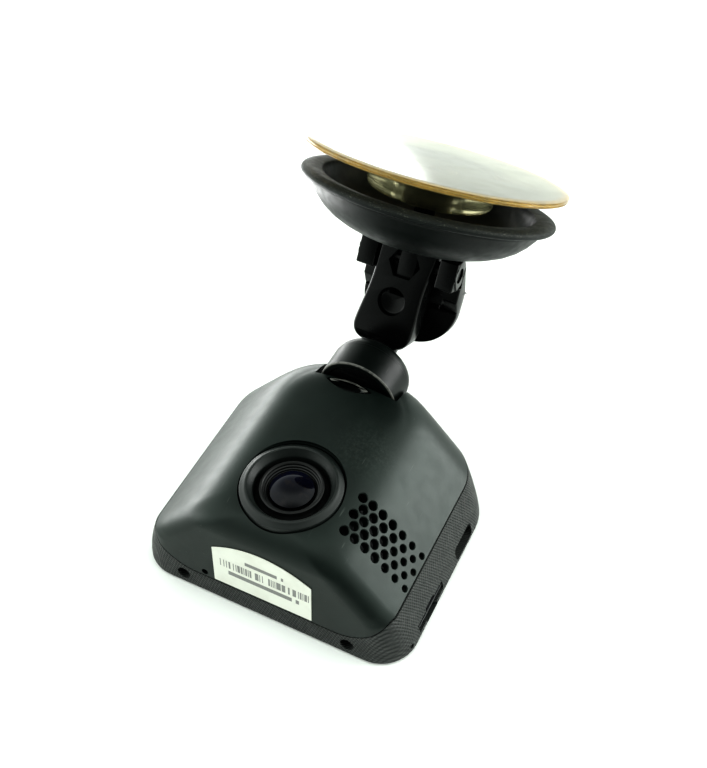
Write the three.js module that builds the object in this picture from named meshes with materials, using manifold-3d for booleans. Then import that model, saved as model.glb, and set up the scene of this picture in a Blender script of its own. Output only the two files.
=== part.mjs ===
// Windscreen dash camera on a suction mount, as an assembly of separate solids, in millimetres.
// The camera lies on its back: -Z is the screen side, +Z the lens side, +Y the mount side.
// The origin is on the screen window's outer face, in the body's middle plane.
import * as THREE from 'three';
import { mergeVertices } from 'three/addons/utils/BufferGeometryUtils.js';
import Module from 'manifold-3d';

const wasm = await Module();
wasm.setup();

// ---------- driving dimensions ----------
const GAP = 0.3;                 // clearance between touching pieces
const WALL = 1.6;                // thickness of the two case shells

const BODY = {
  halfWidth: 30.75,              // at the back edge
  sideLean: 3.5,                 // how far the sides lean in between the back edge and the seam
  seamSide: 12,                  // height where the leaning sides end and the arch begins
  bottom: -26.1,                 // Y of the bottom edge at the back
  bottomLean: 0.09,              // lean of the bottom wall, mm per mm of height
  top: 23.5,                     // Y of the top wall
  crown: 26.5,                   // height of the front at the lens
  flat: 0.06,                    // how far below that the form is closed by a flat top
  crownTilt: 0.0023,             // how the front rises towards the mount, per mm
  archKnee: 13.7,                // half width of the flat crown
  archSoft: 2.3,                 // softness of the knee between crown and slopes
  archSlope: 1.07,               // fall of the slopes, mm per mm
  browRadius: 5,                 // rounding between bottom wall and crown
  topRoundY: 9,                  // rounding between crown and top wall, along Y
  topRoundZ: 5.5,                // the same, along Z
  edgeRound: 0.8,                // small rounding of the back edge
  cornerBottom: 8,
  cornerBottomHigh: 4.5,
  cornerTop: 11,
};
const SEAM = { bottom: 5.6, side: 11.95, top: 13.2, gap: 0.3, climbStart: 16, climbEnd: 26.5, cornerY: -20 };
const LENS = { y: -10.9, ring: 10.35, hole: 10.65, barrel: 6.5, flange: 7.3, lift: 1.4 };
const SOCKET = { z: 24.1, ballY: 25.2, radius: 8.8, bore: 7.5, start: 17.6, ball: 5.2, mouth: 2.4 };
const DOCK = { channel: 9.5, cradle: 10.7, wall: 1.4, tongueHalf: 3.2, tongueLow: 17.6, tongueHigh: 19.8 };
// The release catch is an eye between two arcs: the low one bows to -Y and the high one to +Y.
const CATCH = {
  x: -1, lowY: 23.85, lowR: 9.15, highY: 6.5, highR: 10.6, low: 24.2, top: 26.9, ridge: 28.2, flange: 5.9,
};
const MOUNT = { tilt: -29.7, sway: 1.5, offset: 7.1 };   // the arm's lean, and its distance behind the ball
const ARM = {
  low: 3.5, top: 27.9, halfTop: 6.4, halfLow: 6.8, waist: 0.5, lean: 0.085, depth: 3,
  hex: 3.75, hexZ: 23.4, recess: 3.3, recessZ: 14.6,
};
const BOWL = { rim: 39.4, floor: 28.3, radius: 27.25, inner: 22.7, lip: 2 };
const PAD = { low: 43.9, high: 45.6, radius: 28, boss: 13.6, bossLow: 37.6, travel: 3 };
const LEVER = {
  pinZ: 24, pinY: 0.2, pinRadius: 1.4, cheek: 3.4, inner: 7.1, outer: 11.2, end: 4.6, front: 6.2, back: 8.7,
  blockFront: -3.2, blockLow: 20.6, blockHigh: 27, corner: 9.4, bridge: 3.5,
};
const WINDOW = { x: -3, y: 3.25, width: 41, height: 31.5, thick: 1.2 };
const BOARD = { low: 6.4, thick: 1.2, left: -24, right: 24, bottom: -20, top: 10, chamfer: 4 };
const BUTTON = { places: [-13.2, -4.4, 4.4, 13.2], half: 3.7, low: -21.1, high: -17.5, round: 1.4 };
const CARD = { y: -10.5, z: 2.5, thick: 0.9, width: 11, length: 14.6, edge: 30.1 };
const USB = { y: 6.5, z: 3.25, width: 7.5, height: 2.7, depth: 9, out: 28.6 };
const SCALLOP = { y: 2, depth: 0.68, radius: 14 };       // shallow hollow in the back edge, beside the ports
const GRILLE = { rows: 5, columns: 13, pitchX: 1.067, pitchY: 2.02, startX: 13.4, startY: -6.7, radius: 1 };
const LABEL = { half: 11.1, low: 6.3, peak: 19.8, fall: 3.2, thick: 0.12 };
const SCREW = { x: 18.9, z: 3.2, hole: 1.5, head: 1.2 };
const POWER = { y: 6, z: 6.2, width: 7, height: 2.6 };
const MICROPHONE = { x: -13.5, z: 6.9, hole: 0.75, radius: 2 };
const LIGHT = { x: 24.5, y: 16, radius: 0.6, hole: 0.9 };
const RESET = { y: -19.8, z: 1.9, radius: 0.55 };

// ---------- materials ----------
const finish = (color, roughness, metalness = 0, more = {}) =>
  new THREE.MeshStandardMaterial({ color, roughness, metalness, ...more });
const shellBlack = () => finish(0x252b2a, 0.5);
const bandBlack = () => finish(0x1a1d1d, 0.7);
const glossBlack = () => finish(0x0b0d0d, 0.25);
const mountBlack = () => finish(0x161919, 0.42);
const bowlBlack = () => finish(0x222827, 0.5);
const steel = () => finish(0xb4b6b8, 0.35, 1);
const boardGreen = () => finish(0x1f5a36, 0.6);
const chipBlack = () => finish(0x18181a, 0.55);

// ---------- helpers ----------
const rad = THREE.MathUtils.degToRad;

// A closed solid for cutting and joining, from one three.js geometry.
function solid(geometry) {
  const bare = geometry.index ? geometry.toNonIndexed() : geometry.clone();
  for (const name of Object.keys(bare.attributes)) {
    if (name !== 'position') bare.deleteAttribute(name);
  }
  const merged = mergeVertices(bare, 1e-4);
  return new wasm.Manifold(new wasm.Mesh({
    numProp: 3,
    vertProperties: new Float32Array(merged.attributes.position.array),
    triVerts: new Uint32Array(merged.index.array),
  }));
}

// The geometry of a solid.
function skin(body) {
  const mesh = body.getMesh();
  const geometry = new THREE.BufferGeometry();
  geometry.setAttribute('position', new THREE.BufferAttribute(mesh.vertProperties, 3));
  geometry.setIndex(new THREE.BufferAttribute(mesh.triVerts, 1));
  geometry.computeVertexNormals();
  return geometry;
}

const join = (first, ...rest) => rest.reduce((a, b) => a.add(b), first);
const cut = (first, ...rest) => rest.reduce((a, b) => a.subtract(b), first);

// A box between two corners.
function box(x0, y0, z0, x1, y1, z1) {
  const geometry = new THREE.BoxGeometry(x1 - x0, y1 - y0, z1 - z0);
  return geometry.translate((x0 + x1) / 2, (y0 + y1) / 2, (z0 + z1) / 2);
}

// A cylinder along one axis, from one place on that axis to another.
function rod(axis, a, b, radius, centre, sides = 24) {
  const geometry = new THREE.CylinderGeometry(radius, radius, b - a, sides);
  if (axis === 'x') geometry.rotateZ(-Math.PI / 2).translate((a + b) / 2, centre[0], centre[1]);
  if (axis === 'y') geometry.translate(centre[0], (a + b) / 2, centre[1]);
  if (axis === 'z') geometry.rotateX(Math.PI / 2).translate(centre[0], centre[1], (a + b) / 2);
  return geometry;
}

// A turned piece about Z from [radius, height] points given from the axis round and back.
function turned(points, sides = 48) {
  const profile = points.map(([r, z]) => new THREE.Vector2(r, z));
  if (profile[0].x > 0) profile.push(profile[0].clone());
  return new THREE.LatheGeometry(profile, sides).rotateX(Math.PI / 2);
}

// Points of an arc, for profiles and outlines.
function arc(cx, cy, radius, from, to, steps) {
  return Array.from({ length: steps + 1 }, (_, i) => {
    const angle = rad(from + (to - from) * i / steps);
    return [cx + radius * Math.cos(angle), cy + radius * Math.sin(angle)];
  });
}

// A flat outline pushed up along Z.
function plate(points, z0, z1) {
  const shape = new THREE.Shape(points.map(([x, y]) => new THREE.Vector2(x, y)));
  return new THREE.ExtrudeGeometry(shape, { depth: z1 - z0, bevelEnabled: false }).translate(0, 0, z0);
}

// A flat outline given as [y, z] points, pushed along X from one place to another.
function sidePlate(points, x0, x1) {
  const geometry = plate(points, x0, x1);
  return geometry.applyMatrix4(new THREE.Matrix4().makeBasis(
    new THREE.Vector3(0, 1, 0), new THREE.Vector3(0, 0, 1), new THREE.Vector3(1, 0, 0)));
}

// A rectangle with round corners, as outline points.
function roundedRect(x0, y0, x1, y1, r, steps = 4) {
  return [
    ...arc(x1 - r, y0 + r, r, -90, 0, steps),
    ...arc(x1 - r, y1 - r, r, 0, 90, steps),
    ...arc(x0 + r, y1 - r, r, 90, 180, steps),
    ...arc(x0 + r, y0 + r, r, 180, 270, steps),
  ];
}

// The corners of a rectangle about a centre: left, low, right and high.
const around = (x, y, halfX, halfY) => [x - halfX, y - halfY, x + halfX, y + halfY];

// ---------- the body's outer form ----------
function halfWidthAt(z) {
  if (z <= BODY.seamSide) return BODY.halfWidth - BODY.sideLean * (z / BODY.seamSide) ** 1.4;
  const fall = (BODY.crown - z) / (BODY.archSlope * BODY.archSoft);
  return BODY.archKnee + BODY.archSoft * Math.log(Math.exp(fall) - 1);
}

function bottomAt(z) {
  const straight = BODY.bottom + BODY.bottomLean * z;
  const rise = Math.max(0, z - (BODY.crown - BODY.browRadius)) / BODY.browRadius;
  return straight + BODY.browRadius * (1 - Math.sqrt(1 - rise * rise));
}

function topAt(z) {
  const rise = Math.max(0, z - (BODY.crown - BODY.topRoundZ)) / BODY.topRoundZ;
  return BODY.top - BODY.topRoundY * (1 - Math.sqrt(1 - rise * rise));
}

// One closed outline of the body at a height, moved in by an inset, with a fixed count of points.
function outlineAt(z, inset) {
  const below = Math.max(0, BODY.edgeRound - z);
  const edge = BODY.edgeRound - Math.sqrt(BODY.edgeRound ** 2 - below ** 2);
  const w = halfWidthAt(z) - inset - edge;
  const low = bottomAt(z) + inset + edge;
  const high = topAt(z) - inset - edge;
  const ease = Math.min(1, z / 14);
  const rLow = Math.min(w * 0.6, BODY.cornerBottom + (BODY.cornerBottomHigh - BODY.cornerBottom) * ease);
  const rHigh = Math.min(w * 0.8, BODY.cornerTop);
  const across = (y, from, to, steps) => Array.from({ length: steps - 1 }, (_, i) =>
    [from + (to - from) * (i + 1) / steps, y]);
  return [
    ...across(low, -w + rLow, w - rLow, 3),
    ...arc(w - rLow, low + rLow, rLow, -90, 0, 4),
    ...arc(w - rHigh, high - rHigh, rHigh, 0, 90, 5),
    ...across(high, w - rHigh, -w + rHigh, 2),
    ...arc(-w + rHigh, high - rHigh, rHigh, 90, 180, 5),
    ...arc(-w + rLow, low + rLow, rLow, 180, 270, 4),
  ];
}

// The solid inside the body's skin; the inset gives the inner face of the shells.
function bodyForm(inset) {
  const crown = BODY.crown - BODY.flat;
  const heights = [0, 0.25, BODY.edgeRound, 4, 8, BODY.seamSide, 16, 20, 21.5, 23, 24.2, 25, 25.8, 26.2,
    crown];
  const rings = heights.map((z) => outlineAt(z, inset).map(([x, y]) => {
    const squeezed = inset + z * (crown - 2 * inset) / crown;
    return [x, y, squeezed * (1 + BODY.crownTilt * (y - LENS.y))];
  }));
  const count = rings[0].length;
  const positions = rings.flat(2);
  const index = [];
  for (let level = 0; level + 1 < rings.length; level += 1) {
    for (let i = 0; i < count; i += 1) {
      const a = level * count + i;
      const b = level * count + (i + 1) % count;
      index.push(a, b, b + count, a, b + count, a + count);
    }
  }
  const capOutline = (ring) => ring.map(([x, y]) => new THREE.Vector2(x, y));
  for (const [a, b, c] of THREE.ShapeUtils.triangulateShape(capOutline(rings[0]), [])) index.push(a, c, b);
  const last = (rings.length - 1) * count;
  for (const [a, b, c] of THREE.ShapeUtils.triangulateShape(capOutline(rings.at(-1)), [])) {
    index.push(last + a, last + b, last + c);
  }
  const geometry = new THREE.BufferGeometry();
  geometry.setAttribute('position', new THREE.Float32BufferAttribute(positions, 3));
  geometry.setIndex(index);
  return geometry;
}

// Everything below the seam, as one solid. On the bottom wall the seam is low in the middle and climbs to
// the corners; on the side walls it rises gently towards the mount.
function belowSeam(shift) {
  const steps = 16;
  const reach = SEAM.climbEnd;
  const climb = Array.from({ length: steps + 1 }, (_, i) => {
    const x = reach - 2 * reach * i / steps;
    const t = Math.max(0, Math.abs(x) - SEAM.climbStart) / (reach - SEAM.climbStart);
    return [x, SEAM.bottom + (SEAM.side - SEAM.bottom) * t * t + shift];
  });
  const ends = SEAM.side + shift;
  const low = plate([[-40, -10], [40, -10], [40, ends], ...climb, [-40, ends]], -40, 40);
  const side = sidePlate([
    [SEAM.cornerY, -9], [39, -9], [39, SEAM.top + shift], [SEAM.cornerY, ends],
  ], -39, 39);
  return solid(low.rotateX(Math.PI / 2)).add(solid(side));
}

const outerForm = solid(bodyForm(0));
const innerForm = solid(bodyForm(WALL));

// ---------- camera body: shells ----------
function grilleHoles() {
  const holes = [];
  for (let row = 0; row < GRILLE.rows; row += 1) {
    for (let column = row % 2; column < GRILLE.columns; column += 2) {
      const x = GRILLE.startX + column * GRILLE.pitchX;
      const y = GRILLE.startY - row * GRILLE.pitchY;
      const radius = GRILLE.radius * (1 - 0.33 * Math.max(0, column - 6) / 6);
      const hole = rod('z', -7, 7, radius, [0, 0], 6).rotateY(rad(43));
      holes.push(solid(hole.translate(x, y, BODY.crown - BODY.archSlope * (x - BODY.archKnee))));
    }
  }
  return holes;
}

function frontShell() {
  const { start, z } = SOCKET;
  const { channel, cradle, wall, tongueHalf, tongueLow, tongueHigh } = DOCK;
  const floor = start - 0.6;
  const cup = solid(rod('y', floor - wall, BODY.top, cradle, [0, z], 32));
  const walls = outerForm.subtract(innerForm).add(cup.intersect(outerForm));
  const spare = 0.5;
  const half = tongueHalf + spare;
  return cut(
    walls,
    belowSeam(SEAM.gap / 2),
    solid(rod('y', floor, 40, channel, [0, z], 32)),
    solid(box(-channel, floor, z, channel, 40, 50)),
    solid(box(-half, 10, tongueLow - spare, half, 20, tongueHigh + spare)),
    solid(plate(catchOutline(GAP), 22, 40)),
    solid(rod('z', 10, 40, LENS.hole, [0, LENS.y], 36)),
    solid(rod('y', -30, -20, MICROPHONE.hole, [MICROPHONE.x, MICROPHONE.z], 8)),
    ...grilleHoles(),
  );
}

function rearShell() {
  const wall = outerForm.subtract(innerForm).intersect(belowSeam(-SEAM.gap / 2));
  const { x, y, width, height } = WINDOW;
  const panel = roundedRect(...around(x, y, width / 2 + GAP, height / 2 + GAP), 1.6);
  const cardSide = CARD.width / 2 + GAP;
  const cardTop = CARD.z + CARD.thick + 0.5;
  const usbSide = USB.width / 2 + GAP;
  const usbHalf = USB.height / 2;
  const power = around(POWER.y, POWER.z, POWER.width / 2 + GAP, POWER.height / 2 + GAP);
  return cut(
    wall,
    solid(plate(panel, -1, WALL + 1)),
    ...BUTTON.places.map((x) => solid(plate(buttonOutline(x, GAP), -1, WALL + 1))),
    solid(rod('z', -1, WALL + 1, LIGHT.hole, [LIGHT.x, LIGHT.y], 10)),
    solid(box(24, CARD.y - cardSide, WALL, 34, CARD.y + cardSide, cardTop)),
    solid(rod('z', 0.6, 4.5, 2.8, [31.9, CARD.y], 20)),
    solid(box(27.6, USB.y - usbSide, USB.z - usbHalf - 0.6, 34, USB.y + usbSide, USB.z + usbHalf + GAP)),
    solid(rod('x', 27, 34, SCALLOP.radius, [SCALLOP.y, SCALLOP.depth - SCALLOP.radius], 48)),
    solid(box(-34, power[0], power[1], -24, power[2], power[3])),
    solid(rod('x', 24, 34, RESET.radius, [RESET.y, RESET.z], 8)),
    ...[-1, 1].map((side) => solid(rod('y', -30, -20, SCREW.hole, [side * SCREW.x, SCREW.z], 14))),
  );
}

// ---------- camera body: lens ----------
function lensRing() {
  const top = BODY.crown;
  return turned([
    [7, top - 3.6], [LENS.ring, top - 3.6], [LENS.ring, top - 0.35], [9.4, top + 0.45], [8.9, top + 0.65],
    [8.6, top + 0.4], [7.7, top - 0.8], [7.6, top - 2.9], [7, top - 3],
  ]).translate(0, LENS.y, 0);
}

function lensBarrel() {
  const { barrel, flange, lift } = LENS;
  return turned([
    [3.4, 9.4], [5.2, 9.4], [5.2, 17.4], [barrel, 17.4], [barrel, 22.5 + lift], [flange, 22.5 + lift],
    [flange, 23.3 + lift], [barrel, 24.2 + lift], [barrel, 24.5 + lift],
    [5.5, 24.7 + lift], [5.1, 23.6 + lift], [3.4, 22.4 + lift],
  ], 36).translate(0, LENS.y, 0);
}

function frontLens() {
  const dome = arc(0, 17.25, 8, 55, 75, 3);
  const profile = [[0, 22.75], [3.2, 22.75], [4.6, 23.75], ...dome, [0, 25.2]];
  return turned(profile, 36).translate(0, LENS.y, LENS.lift);
}

function lensHolder() {
  const base = solid(plate(roundedRect(-7, -7, 7, 7, 1.5, 2), 8.8, 12));
  const tube = solid(rod('z', 11, 16.9, 6.6, [0, 0], 28));
  const bore = solid(rod('z', 8, 18, 5.5, [0, 0], 28));
  return cut(base.add(tube), bore).translate([0, LENS.y, 0]);
}

// ---------- camera body: buttons ----------
function buttonOutline(x, grow) {
  const { half, low, high, round } = BUTTON;
  return roundedRect(x - half - grow, low - grow, x + half + grow, high + grow, round);
}

function menuButton(x) {
  const cap = solid(plate(buttonOutline(x, 0), 0.5, 2.2));
  const flange = solid(plate(buttonOutline(x, 0.6), 2, 2.6));
  return cap.add(flange);
}

function powerButton() {
  const [y0, z0, y1, z1] = around(POWER.y, POWER.z, POWER.width / 2, POWER.height / 2);
  const cap = solid(box(-31, y0, z0, -27, y1, z1)).intersect(solid(bodyForm(-0.3)));
  return cap.add(solid(box(-27.1, y0 - 0.7, z0 - 0.6, -26.2, y1 + 0.7, z1 + 0.6)));
}

// ---------- camera body: inside ----------
function mainBoard() {
  const { left, right, bottom, top, low, thick, chamfer } = BOARD;
  return plate([
    [left + chamfer, bottom], [right - chamfer, bottom], [right, bottom + chamfer], [right, top], [left, top],
    [left, bottom + chamfer],
  ], low, low + thick);
}

// The inlet's metal can, its tongue, and the block that stands it off the board.
function usbPort() {
  const { y, z, width, height, depth, out } = USB;
  const inner = out - depth;
  const [y0, z0, y1, z1] = around(y, z, width / 2, height / 2);
  const can = solid(box(inner, y0, z0, out, y1, z1));
  const mouth = solid(box(inner + 1, y0 + 0.4, z0 + 0.4, out + 1, y1 - 0.4, z1 - 0.4));
  const tongue = solid(box(inner + 0.5, y - 2.4, z - 0.4, out - 1, y + 2.4, z + 0.3));
  const stand = solid(box(inner, y0, z1 - 0.2, BOARD.right - 0.5, y1, BOARD.low - GAP));
  return can.subtract(mouth).add(tongue).add(stand);
}

function cardSlot() {
  const { y, z, thick, width, length, edge } = CARD;
  const inner = edge - length - 2 * GAP;
  const side = width / 2 + GAP;
  const cage = solid(box(inner - 0.3, y - side - 0.3, z - 0.6, 27.9, y + side + 0.3, z + thick + 0.6));
  const room = solid(box(inner + GAP, y - side, z - GAP, 29, y + side, z + thick + GAP));
  return cage.subtract(room);
}

function memoryCard() {
  const { y, z, thick, width, length, edge } = CARD;
  const half = width / 2;
  return plate([
    [edge - length, y - half + 0.8], [edge - length + 0.8, y - half], [edge, y - half], [edge, y + half],
    [edge - 7, y + half], [edge - 8, y + half - 1], [edge - length, y + half - 1],
  ], z, z + thick);
}

function speaker() {
  return turned([[0, 0], [6.6, 0], [7, 0.5], [7, 3.2], [5.6, 3.4], [5.2, 2.9], [2.4, 2.3], [0, 2.6]], 28);
}

function caseScrew(x) {
  const head = solid(rod('y', -24.9, -23.4, SCREW.head, [x, SCREW.z], 12));
  const shank = solid(rod('y', -23.6, -17.5, 0.7, [x, SCREW.z], 10));
  const slot = solid(box(x - 0.9, -25.5, SCREW.z - 0.2, x + 0.9, -24.4, SCREW.z + 0.2));
  return head.add(shank).subtract(slot);
}

function boardScrew(x, y) {
  const head = solid(rod('z', BOARD.low + BOARD.thick + 0.1, 8.8, 1.8, [x, y], 12));
  const slot = solid(box(x - 1.4, y - 0.25, 8.4, x + 1.4, y + 0.25, 9.4));
  return head.subtract(slot);
}

// The sticker on the bottom wall: a straight-sided panel with an arched upper edge.
function serialLabel() {
  const { half, low, peak, fall, thick } = LABEL;
  const steps = 8;
  const arch = Array.from({ length: steps + 1 }, (_, i) => {
    const x = half - 2 * half * i / steps;
    return [x, peak - fall * (x / half) ** 2];
  });
  const panel = plate([[-half, low], [half, low], ...arch], 0, thick);
  panel.rotateX(Math.PI / 2 - Math.atan(BODY.bottomLean));
  return panel.translate(0, BODY.bottom - 0.02, 0);
}

// ---------- mount: socket ----------
function socketCap() {
  const { z, ballY, radius, bore, start, ball, mouth } = SOCKET;
  const seat = ball + GAP;
  const seatAngle = THREE.MathUtils.radToDeg(Math.asin(mouth / seat));
  const dome = 3.2;
  const profile = [
    [bore, start], [radius - 0.4, start], [radius, start + 0.4],
    ...arc(radius - dome, ballY + mouth - dome, dome, 0, 80, 4),
    ...arc(0, ballY, seat, seatAngle, -10, 4), [bore, ballY - 3],
  ];
  return turned(profile, 32).rotateX(-Math.PI / 2).translate(0, 0, z);
}

function socketBase() {
  const { z, start, bore } = SOCKET;
  const { tongueHalf, tongueLow, tongueHigh } = DOCK;
  const disc = solid(rod('y', start + 0.2, start + 0.7, bore - GAP, [0, z], 28));
  const tongue = solid(box(-tongueHalf, 6.4, tongueLow, tongueHalf, start + 0.6, tongueHigh));
  return disc.add(tongue);
}

function springWasher() {
  const { z, start } = SOCKET;
  return turned([[4.2, start + 0.95], [7, start + 0.95], [7, start + 1.25], [4.2, start + 1.25]], 24)
    .rotateX(-Math.PI / 2).translate(0, 0, z);
}

function frictionPad() {
  const { z, ballY, start, bore, ball } = SOCKET;
  const puck = solid(rod('y', start + 1.5, start + 4.4, bore - GAP, [0, z], 24));
  return puck.subtract(solid(new THREE.SphereGeometry(ball + GAP, 20, 12).translate(0, ballY, z)));
}

// ---------- mount: release catch ----------
function catchOutline(grow, steps = 6) {
  const lowR = CATCH.lowR + grow;
  const highR = CATCH.highR + grow;
  const apart = CATCH.lowY - CATCH.highY;
  const along = (apart ** 2 + lowR ** 2 - highR ** 2) / (2 * apart);
  const half = Math.sqrt(lowR ** 2 - along ** 2);
  const lowTurn = THREE.MathUtils.radToDeg(Math.asin(half / lowR));
  const highTurn = THREE.MathUtils.radToDeg(Math.asin(half / highR));
  return [
    ...arc(CATCH.x, CATCH.lowY, lowR, -90 - lowTurn, -90 + lowTurn, steps),
    ...arc(CATCH.x, CATCH.highY, highR, 90 - highTurn, 90 + highTurn, steps).slice(1, -1),
  ];
}

// The tab, the thumb ridge along its far edge with a hooked end, and the flange that holds it in.
function releaseCatch() {
  const { x, highY, highR, low, top, ridge, flange } = CATCH;
  const tab = solid(plate(catchOutline(0), low, top));
  const rail = solid(plate([
    ...arc(x, highY, highR - 0.05, 65, 115, 8), ...arc(x, highY, highR - 0.8, 115, 65, 8),
  ], top - 0.6, ridge));
  const hook = solid(box(x + 2.9, 14.9, top - 0.6, x + 3.7, 16.1, ridge - 0.25));
  const grip = rail.add(hook).intersect(tab.translate([0, 0, top - 0.7 - low]));
  const back = solid(box(x - flange, 13.4, low - 0.9, x + flange, 15.3, low + 0.1));
  return join(tab, grip, back);
}

// ---------- mount: arm and suction cup, in the arm's own frame ----------
// There Z is the suction cup's axis and -Y is the front; the ball's centre is at Y = -MOUNT.offset, Z = 0.
function jointBall() {
  return new THREE.SphereGeometry(SOCKET.ball, 20, 12).translate(0, -MOUNT.offset, 0);
}

function ballNeck() {
  const { tilt, offset } = MOUNT;
  const neck = rod('z', 3.6, 10.6, 2.2, [0, 0], 16).rotateX(rad(-90 - tilt)).translate(0, -offset, 0);
  const clear = new THREE.SphereGeometry(SOCKET.ball + GAP, 20, 12).translate(0, -offset, 0);
  return solid(neck).subtract(solid(clear));
}

// The arm's front face: a waist, a wider round toe, and a lean to one side.
function armOutline(steps = 6) {
  const { low, top, halfTop, halfLow, waist, lean } = ARM;
  const corner = 4.6;
  const edge = Array.from({ length: steps + 1 }, (_, i) => {
    const t = i / steps;
    const half = halfLow + (halfTop - halfLow) * t - waist * Math.sin(Math.PI * t) ** 2;
    return [half, low + corner + (top - low - corner) * t];
  });
  const outline = [
    ...arc(-halfLow + corner, low + corner, corner, 180, 270, 4),
    ...arc(halfLow - corner, low + corner, corner, 270, 360, 4).slice(0, -1),
    ...edge,
    ...edge.slice(1).reverse().map(([x, z]) => [-x, z]),
  ];
  return outline.map(([x, z]) => [x + lean * (z - top), z]);
}

function mountArm() {
  const { low, top, lean, depth, hex, hexZ, recess, recessZ } = ARM;
  const face = solid(plate(armOutline(), -depth, depth).rotateX(Math.PI / 2));
  const toe = solid(rod('x', -14, 14, depth, [0, low + depth], 20));
  const bar = face.intersect(toe.add(solid(box(-14, -depth, low + depth, 14, depth, top + 1))));
  return cut(
    bar.add(ballNeck()),
    solid(rod('y', -depth - 1, -depth + 1.2, hex - 0.3, [lean * (hexZ - top), hexZ], 6)),
    solid(rod('y', -depth - 1, -depth + 0.9, recess - 0.3, [lean * (recessZ - top), recessZ], 16)),
    solid(box(-2.5, -2.5, 16, 2.5, depth + 1, top + 1)),
    solid(rod('x', -14, 14, LEVER.pinRadius + GAP, [LEVER.pinY, LEVER.pinZ], 14)),
  );
}

function suctionBowl() {
  const { rim, floor, radius, inner, lip } = BOWL;
  return turned([
    [2.7, floor], [10.5, floor], [15.4, floor + 0.9], [19.8, floor + 2.8], [23.2, floor + 5.8],
    [25, rim - lip - 0.6], [25.3, rim - lip], [radius - 0.4, rim - lip + 0.2], [radius, rim - 1],
    [radius - 0.6, rim], [inner, rim - 0.4], [inner - 0.5, rim - 1.4], [21, floor + 6.3], [18, floor + 4],
    [13.6, floor + 2.5], [2.7, floor + 2.2],
  ], 36);
}

function suctionPad() {
  const { low, high, radius, boss, bossLow } = PAD;
  const pocket = bossLow + 3.2;
  return turned([
    [0, pocket], [5.3, pocket], [5.3, bossLow], [boss - 2.2, bossLow],
    ...arc(boss - 2.2, bossLow + 2.2, 2.2, -60, 0, 2),
    [boss, low], [radius - 0.6, low + 0.3], [radius, low + 0.8], [radius - 0.4, high - 0.3],
    [radius - 2, high], [0, high],
  ], 36);
}

function padStud() {
  const { pinY, pinZ, pinRadius } = LEVER;
  const head = solid(rod('z', PAD.bossLow + 0.8, PAD.bossLow + 2.9, 5, [0, 0], 20));
  const shaft = solid(rod('z', 27.2, PAD.bossLow + 1.2, 2.2, [0, 0], 16));
  const eye = solid(box(-2.1, -2.2, 19.6, 2.1, 2.4, 27.6));
  const play = pinRadius + 0.25;
  const slot = solid(box(-3, pinY - play, pinZ - play, 3, pinY + play, pinZ + play + PAD.travel));
  return cut(head.add(shaft).add(eye), slot);
}

function lockLever() {
  const { pinZ, pinY, pinRadius, cheek, inner, outer, end, front, back, corner } = LEVER;
  const { blockFront, blockLow, blockHigh, bridge } = LEVER;
  const paddleTop = pinZ - 5.4;
  const cheeks = [-outer, inner].map((a) => {
    const b = a + outer - inner;
    const disc = solid(rod('x', a, b, cheek, [pinY, pinZ], 20));
    const web = solid(sidePlate([
      [pinY - 1, pinZ - cheek + 0.1], [bridge, 20.2], [bridge, 17], [front, end + corner],
      [back, end + corner], [back, paddleTop], [pinY + 2.4, pinZ + 2.4], [pinY, pinZ + cheek],
    ], a, b));
    return join(disc, web, solid(box(a, blockFront, blockLow, b, pinY, blockHigh)));
  });
  const wall = solid(sidePlate([
    [bridge, 15.5], [front + 0.3, 15.5], [front + 0.3, 21], [5, 22.6], [bridge, 21.8],
  ], -inner - 1, inner + 1));
  const paddle = solid(plate([
    ...arc(-outer + corner, end + corner, corner, 180, 270, 5),
    ...arc(outer - corner, end + corner, corner, 270, 360, 5),
    [outer, paddleTop], [-outer, paddleTop],
  ], -back, -front).rotateX(Math.PI / 2));
  const hole = solid(rod('x', -20, 20, pinRadius + GAP, [pinY, pinZ], 14));
  return join(paddle, wall, ...cheeks).subtract(hole);
}

// ---------- assembly ----------
const model = new THREE.Group();

// Adds one named piece, from a geometry or a solid.
function piece(parent, name, shape, material) {
  const mesh = new THREE.Mesh(shape.isBufferGeometry ? shape : skin(shape), material);
  mesh.name = name;
  parent.add(mesh);
  return mesh;
}

function addShells() {
  piece(model, 'front_shell', frontShell(), shellBlack());
  piece(model, 'rear_shell', rearShell(), bandBlack());
  piece(model, 'serial_label', serialLabel(), finish(0xe9e8df, 0.6));
  piece(model, 'case_screw_left', caseScrew(-SCREW.x), steel());
  piece(model, 'case_screw_right', caseScrew(SCREW.x), steel());
}

function addLens() {
  piece(model, 'lens_ring', lensRing(), glossBlack());
  piece(model, 'lens_barrel', lensBarrel(), glossBlack());
  piece(model, 'front_lens', frontLens(), finish(0x20264a, 0.05, 0, { transparent: true, opacity: 0.6 }));
  piece(model, 'lens_holder', lensHolder(), chipBlack());
  piece(model, 'image_sensor', box(-3.6, LENS.y - 3.2, 7.8, 3.6, LENS.y + 3.2, 8.9), chipBlack());
}

function addScreen() {
  const { x, y, width, height, thick } = WINDOW;
  const window = plate(roundedRect(...around(x, y, width / 2, height / 2), 1.3), 0, thick);
  piece(model, 'screen_window', window, finish(0x07090a, 0.1));
  piece(model, 'screen_panel', box(-23, -12, 1.9, 14.3, 18.2, 4.2), finish(0x9aa0a4, 0.4, 0.6));
  const pipe = rod('z', 0.2, 3.4, LIGHT.radius, [LIGHT.x, LIGHT.y], 10);
  piece(model, 'status_light', pipe, finish(0xd8e6dc, 0.3));
}

function addButtons() {
  const names = ['menu_button', 'down_button', 'up_button', 'record_button'];
  BUTTON.places.forEach((place, i) => piece(model, names[i], menuButton(place), bandBlack()));
  piece(model, 'power_button', powerButton(), bandBlack());
}

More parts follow.
